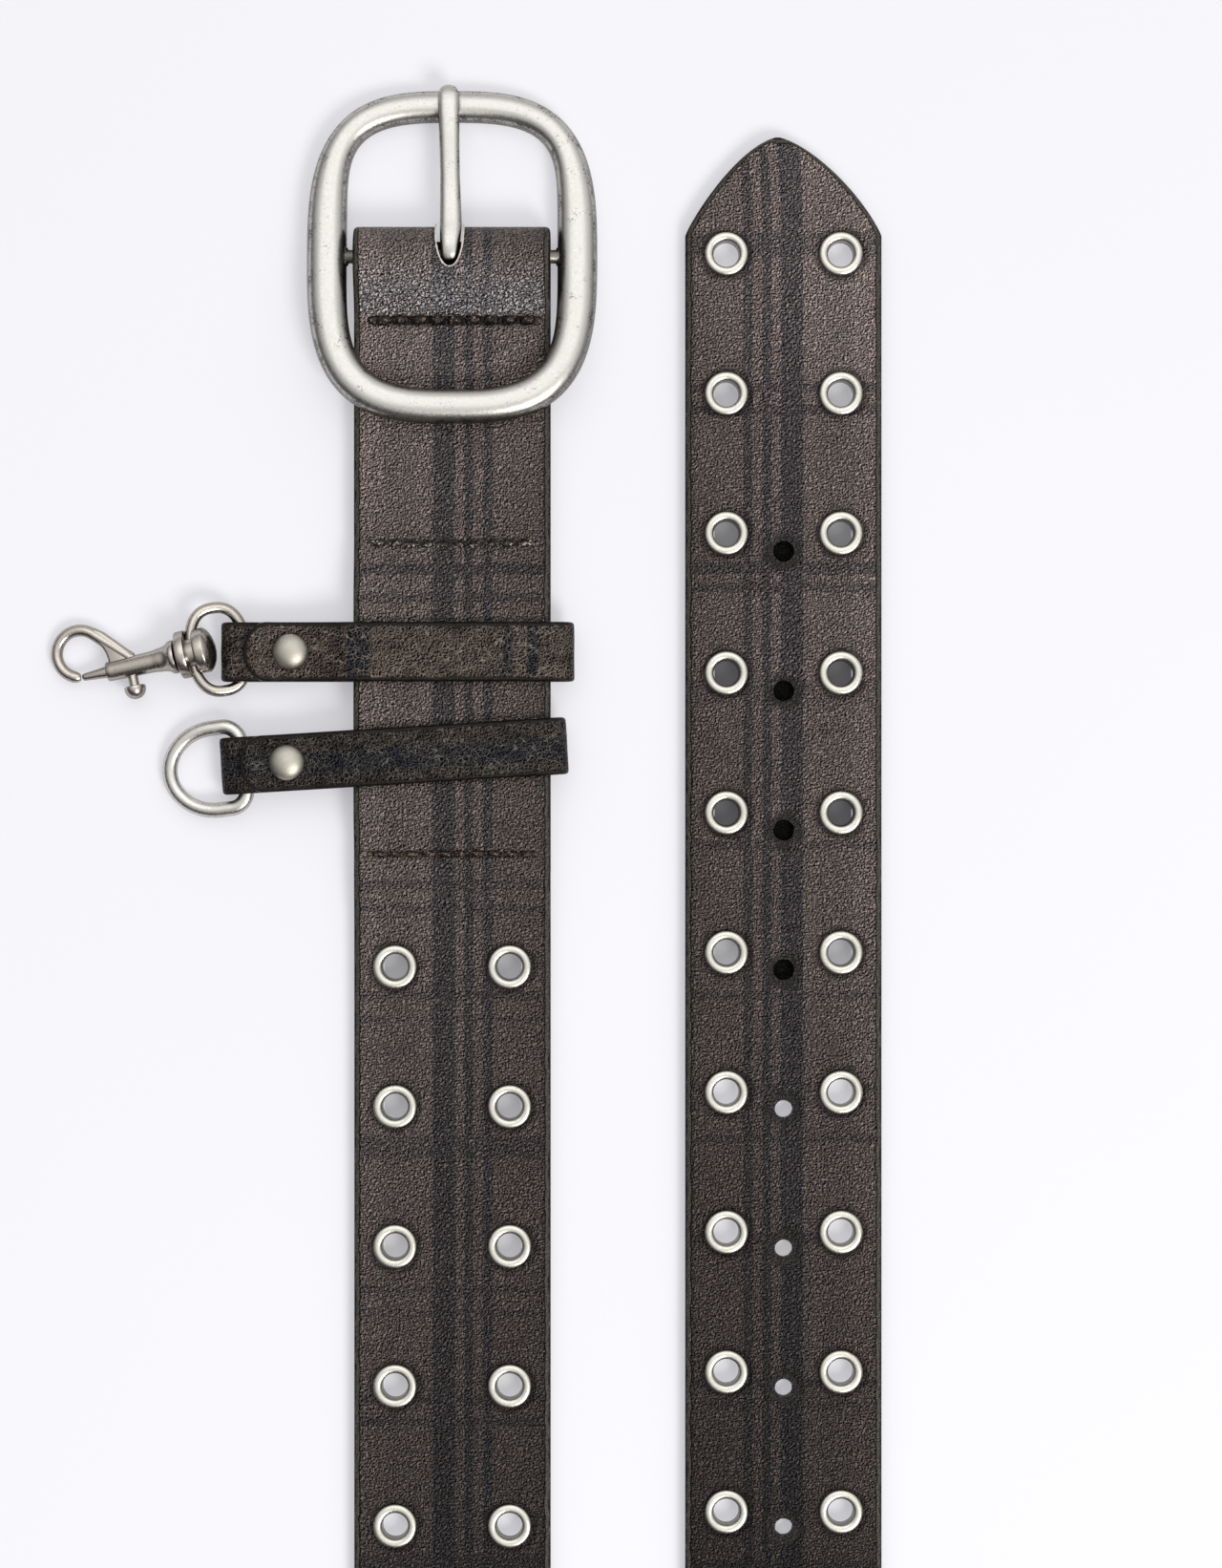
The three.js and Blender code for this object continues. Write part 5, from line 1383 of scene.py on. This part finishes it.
def creased_leather(strap):
    """Waxed bridle leather, nearly black, with pale hairline cracks.

    It is glossier than the main strap, and its edges are burnished smooth."""
    material, add, shader = new_material(strap["name"] + "_waxed_leather", IOR=1.5)
    place = add("TexCoord", out="Object")
    across, edge = strap_marks(add, "X")
    cracks = leather_grain(add, place, 1.1 * MM)
    relief_light_and_shade = painted_grain_relief(add, place, 0.45 * MM, 0.07)
    fine, patch, cloud = (
        add("TexNoise", {"Vector": place, "Scale": scale / MM, "Detail": 3.0}) for scale in (2.0, 0.33, 0.09))
    low, high = ("#120f0d", "#3f3630") if strap["name"] == "hook" else ("#0a0908", "#26211e")
    colour = add("Mix", {0: cloud, 6: linear(low), 7: linear(high)}, 2, data_type="RGBA")
    # Darker between the fold and the belt, apart from the tab at the rivet
    spot = add("SeparateXYZ", (place,), "X")
    tab = add("Math", (spot, (68.5 - HOME.x) * MM), operation="ADD")
    tab = add("Math", (tab,), operation="ABSOLUTE")
    tab = add("MapRange", {0: tab, 1: 6 * MM, 2: 9 * MM, 3: 1.0, 4: 0.6})
    over_belt = add("MapRange", {0: spot, 1: (-56 + HOME.x) * MM, 2: (-47 + HOME.x) * MM, 3: 0.6})
    tone_by_place = add("Math", (tab, over_belt), operation="MAXIMUM")
    colour = add("VectorMath", {0: colour, "Scale": tone_by_place}, operation="SCALE")
    # Navy bars of the same print
    if strap["name"] == "hook":
        ink = 0.0
        for middle, half in ((-52.6, 2.3), (-22.4, 1.1), (-17.2, 1.2)):
            bar = add("Math", (spot, (middle + HOME.x) * MM, half * MM), operation="COMPARE")
            ink = add("Math", (ink, bar), operation="MAXIMUM")
    else:
        ink = add("Math", (across, -0.6, 2.3), operation="COMPARE")
    ink = add("Math", (ink, 0.9), operation="MULTIPLY")
    colour = add("Mix", {0: ink, 6: colour, 7: linear("#0d0f14")}, 2, data_type="RGBA")
    # Painted light and shade of the grain: each lump is painted pale on one flank and dark on the other, as
    # if lit from one side
    painted_relief = add("MapRange", {0: relief_light_and_shade, 3: -2.6, 4: 5.2})
    colour = add("VectorMath", {0: colour, "Scale": painted_relief}, operation="SCALE")
    hairline = add("MapRange", {0: cracks, 1: 0.0, 2: 0.14, 3: 0.6, 4: 0.0})
    worn = add("MapRange", {0: patch, 1: 0.36, 2: 0.54})
    hairline = add("Math", (hairline, worn), operation="MULTIPLY")
    pale = linear("#a3978b" if strap["name"] == "hook" else "#857c73")
    colour = add("Mix", {0: hairline, 6: colour, 7: pale}, 2, data_type="RGBA")
    # Painted shade: the face is painted darker where it turns away from straight up, round the bends
    upward = add("SeparateXYZ", (add("TexCoord", out="Normal"),), "Z")
    bent = add("MapRange", {0: upward, 1: 0.6, 2: 0.99, 3: 0.35, 4: 1.0})
    colour = add("VectorMath", {0: colour, "Scale": bent}, operation="SCALE")
    uneven = add("Math", (patch, 0.8, edge), operation="MULTIPLY_ADD")
    band = add("MapRange", {0: uneven, 1: 0.95, 2: 1.35, 3: 1.0, 4: 0.0}, interpolation_type="SMOOTHSTEP")
    paint = add("MapRange", {0: uneven, 1: 0.6, 2: 0.8, 3: 1.0, 4: 0.0})
    for amount, tint in ((band, "#24201d"), (paint, "#110f0e")):
        colour = add("Mix", {0: amount, 6: colour, 7: linear(tint)}, 2, data_type="RGBA")
    shine = add("MapRange", {0: relief_light_and_shade, 1: 0.3, 2: 0.9, 3: 0.03, 4: 0.4})
    shine = add("Mix", {0: band, 2: shine, 3: 0.12})
    rough = add("MapRange", {0: fine, 1: 0.3, 2: 0.7, 3: 0.3, 4: 0.52})
    grain = add("Math", (cracks, 0.4), operation="MULTIPLY")
    grain = add("Math", (fine, 0.7, grain), operation="MULTIPLY_ADD")
    keep = add("MapRange", {0: band, 3: 1.0, 4: 0.3})
    grain = add("Math", (grain, keep), operation="MULTIPLY")
    bump = add("Bump", {"Height": grain, "Strength": 1.0, "Distance": 0.0004})
    plug(shader, Base_Color=colour, Specular_IOR_Level=shine, Roughness=rough, Normal=bump)
    return material


def plated_metal(name, light, dark, rough, patina, side_patina_and_shade):
    """Nickel plating with a satin finish, darkened in speckled patches of patina, more of them down its
    sides, and painted smoothly darker on its steep sides as a painted dark reflection.
    """
    material, add, shader = new_material(name, Metallic=1.0)
    place = add("TexCoord", out="Object")
    upward = add("SeparateXYZ", (add("TexCoord", out="Normal"),), "Z")
    upward = add("Math", (upward,), operation="ABSOLUTE")
    speckle, cloud = (
        add("TexNoise", {"Vector": place, "Scale": scale / MM, "Detail": 4.0}) for scale in (2.4, 0.3))
    side = add("MapRange", {0: upward, 1: 0.35, 2: 0.97, 3: side_patina_and_shade, 4: 0.0})
    both = add("Math", (speckle, cloud), operation="MULTIPLY")
    both = add("Math", (side, 0.34, both), operation="MULTIPLY_ADD")
    spread = add("MapRange", {0: both, 1: 0.375, 2: 0.52, 3: 0.0, 4: patina})
    # Painted dark reflection: steep and downward-facing sides are painted smoothly darker
    painted_dark_reflection = add("MapRange", {0: upward, 1: 0.1, 2: 0.45 + 0.45 * side_patina_and_shade, 3: 0.9, 4: 0.0})
    spread = add("Math", (spread, painted_dark_reflection), operation="MAXIMUM")
    colour = add("Mix", {0: spread, 6: linear(light), 7: linear(dark)}, 2, data_type="RGBA")
    dull = add("MapRange", {0: speckle, 1: 0.3, 2: 0.7, 3: rough - 0.06, 4: rough + 0.1})
    bump = add("Bump", {"Height": speckle, "Strength": 0.3, "Distance": 0.00005})
    plug(shader, Base_Color=colour, Roughness=dull, Normal=bump)
    return material


def antique_nickel():
    """Tumbled nickel with a dark speckled patina, more of it on its sides, which are also painted darker as a
    painted dark reflection.
    """
    return plated_metal("tumbled_antique_nickel", "#d3d1ca", "#3d3934", 0.32, 0.85, 0.8)


def eyelet_nickel():
    """Bright nickel plating, nearly white, as it comes on pressed eyelets."""
    return plated_metal("pressed_bright_nickel", "#dedbd0", "#5d5a52", 0.3, 0.5, 0.9)


def satin_nickel():
    """Satin nickel of the rivet heads, greyer than the rings."""
    return plated_metal("satin_nickel_rivets", "#c2beb2", "#47423c", 0.46, 0.3, 0.5)


def polished_nickel():
    """Barrel-polished nickel of the rings and the snap hook, slightly warm."""
    return plated_metal("barrel_polished_nickel", "#ccc4ba", "#2b2724", 0.25, 0.35, 0.9)


def shaded_bar_nickel():
    """Nickel of the bar in the fold, painted darker and with dark patina, as painted shade for the fold it
    lies in.
    """
    return plated_metal("bar_nickel_painted_shade", "#8d8a83", "#2c2926", 0.42, 0.9, 0.9)


def ring_nickel():
    """Tumbled nickel of the D-ring, paler and duller than the snap hook."""
    return plated_metal("tumbled_pale_nickel", "#e2dfd8", "#45413b", 0.3, 0.4, 0.5)


def waxed_thread(number):
    """Waxed polyester thread, dark, with painted glints where it would catch the light: copper on the first
    and last rows, pale on the middle one.
    """
    light, dark, part = (
        ("#a8866c", "#050403", 0.63), ("#e0d6c6", "#1e140f", 0.6), ("#8f6a54", "#120c09", 0.57),
    )[number]
    material, add, shader = new_material("waxed_thread_%d" % (number + 1), Roughness=0.42)
    place = add("TexCoord", out="Object")
    fibre = add("TexNoise", {"Vector": place, "Scale": 1.9 / MM, "Detail": 2.0})
    painted_glint = add("MapRange", {0: fibre, 1: part - 0.05, 2: part + 0.1})
    colour = add("Mix", {0: painted_glint, 6: linear(dark), 7: linear(light)}, 2, data_type="RGBA")
    bump = add("Bump", {"Height": fibre, "Strength": 0.6, "Distance": 0.0001})
    plug(shader, Base_Color=colour, Normal=bump)
    return material


def pale_floor():
    """Matt opal sheet of a light table, which glows enough to keep the shadows faint."""
    material, add, shader = new_material("opal_sheet", Roughness=0.9, Emission_Strength=0.4)
    place = add("TexCoord", out="Object")
    cloud = add("TexNoise", {"Vector": place, "Scale": 0.006 / MM, "Detail": 2.0})
    colour = add("Mix", {0: cloud, 6: linear("#c3c3c7"), 7: linear("#c6c6c9")}, 2, data_type="RGBA")
    # Painted shadow on the sheet, in its colour and its glow, below stretches of the two strands, which shows
    # through their holes
    x, y = (
        add("Math", (add("SeparateXYZ", (place,), axis), -home * MM), operation="ADD")
        for axis, home in (("X", HOME.x), ("Y", HOME.y)))
    left = add("Math", (x, LEFT_X * MM, 14 * MM), operation="COMPARE")
    right = add("Math", (x, -LEFT_X * MM, 14 * MM), operation="COMPARE")
    start = add("Math", (y, -140 * MM), operation="LESS_THAN")
    nearer = add("MapRange", {0: y, 1: -260 * MM, 2: -140 * MM, 3: 0.0, 4: 0.5})
    above = add("MapRange", {0: y, 1: -74 * MM, 2: -17 * MM, 3: 0.85, 4: 0.0})
    below = add("MapRange", {0: y, 1: -168 * MM, 2: -125 * MM})
    for part in (start, nearer):
        left = add("Math", (left, part), operation="MULTIPLY")
    for part in (above, below):
        right = add("Math", (right, part), operation="MULTIPLY")
    shade = add("Math", (left, right), operation="ADD")
    # Painted shadow on the sheet below the prong's slot, where no light gets
    slot = add("Math", (x, PRONG_X * MM, 3.5 * MM), operation="COMPARE")
    length = add("Math", (y, -5.2 * MM, 2.8 * MM), operation="COMPARE")
    slot = add("Math", (slot, length), operation="MULTIPLY")
    shade = add("Math", (shade, slot), operation="MAXIMUM")
    lit = add("Math", (1.0, shade), operation="SUBTRACT")
    colour = add("VectorMath", {0: colour, "Scale": lit}, operation="SCALE")
    glow = add("VectorMath", {0: linear("#f6f6fc")[:3], "Scale": lit}, operation="SCALE")
    plug(shader, Base_Color=colour, Emission_Color=glow)
    return material


class BELT_PT_panel(bpy.types.Panel):
    """Lists the belt's operators and their sizes"""
    bl_label = "Studded belt"
    bl_idname = "BELT_PT_panel"
    bl_space_type = "VIEW_3D"
    bl_region_type = "UI"
    bl_category = "Belt"

    def draw(self, context):
        for group in (context.scene.belt_leather, context.scene.belt_metal, context.scene.belt_colours):
            for name in group.__annotations__:
                self.layout.prop(group, name)
        for operator in OPERATORS:
            self.layout.operator(operator.bl_idname)


GROUPS = (BeltLeather, BeltMetal, BeltColours)
OPERATORS = (
    BELT_OT_strap, BELT_OT_eyelets, BELT_OT_buckle, BELT_OT_small_straps, BELT_OT_rivets, BELT_OT_rings,
    BELT_OT_snap_hook, BELT_OT_stitches, BELT_OT_stage,
)


def register():
    """Adds the classes and the scene's three groups of settings."""
    for cls in GROUPS + OPERATORS + (BELT_PT_panel,):
        bpy.utils.register_class(cls)
    bpy.types.Scene.belt_leather = PointerProperty(type=BeltLeather)
    bpy.types.Scene.belt_metal = PointerProperty(type=BeltMetal)
    bpy.types.Scene.belt_colours = PointerProperty(type=BeltColours)


def unregister():
    """Takes them away again, in the opposite order."""
    del bpy.types.Scene.belt_colours
    del bpy.types.Scene.belt_metal
    del bpy.types.Scene.belt_leather
    for cls in reversed(GROUPS + OPERATORS + (BELT_PT_panel,)):
        bpy.utils.unregister_class(cls)


def main():
    """Builds the belt and its stage."""
    random.seed(7)
    register()
    bpy.ops.belt.stage()
    bpy.ops.belt.strap()
    bpy.ops.belt.eyelets()
    bpy.ops.belt.buckle()
    bpy.ops.belt.small_straps()
    bpy.ops.belt.rivets()
    bpy.ops.belt.rings()
    bpy.ops.belt.snap_hook()
    bpy.ops.belt.stitches()


if __name__ == "__main__":
    main()
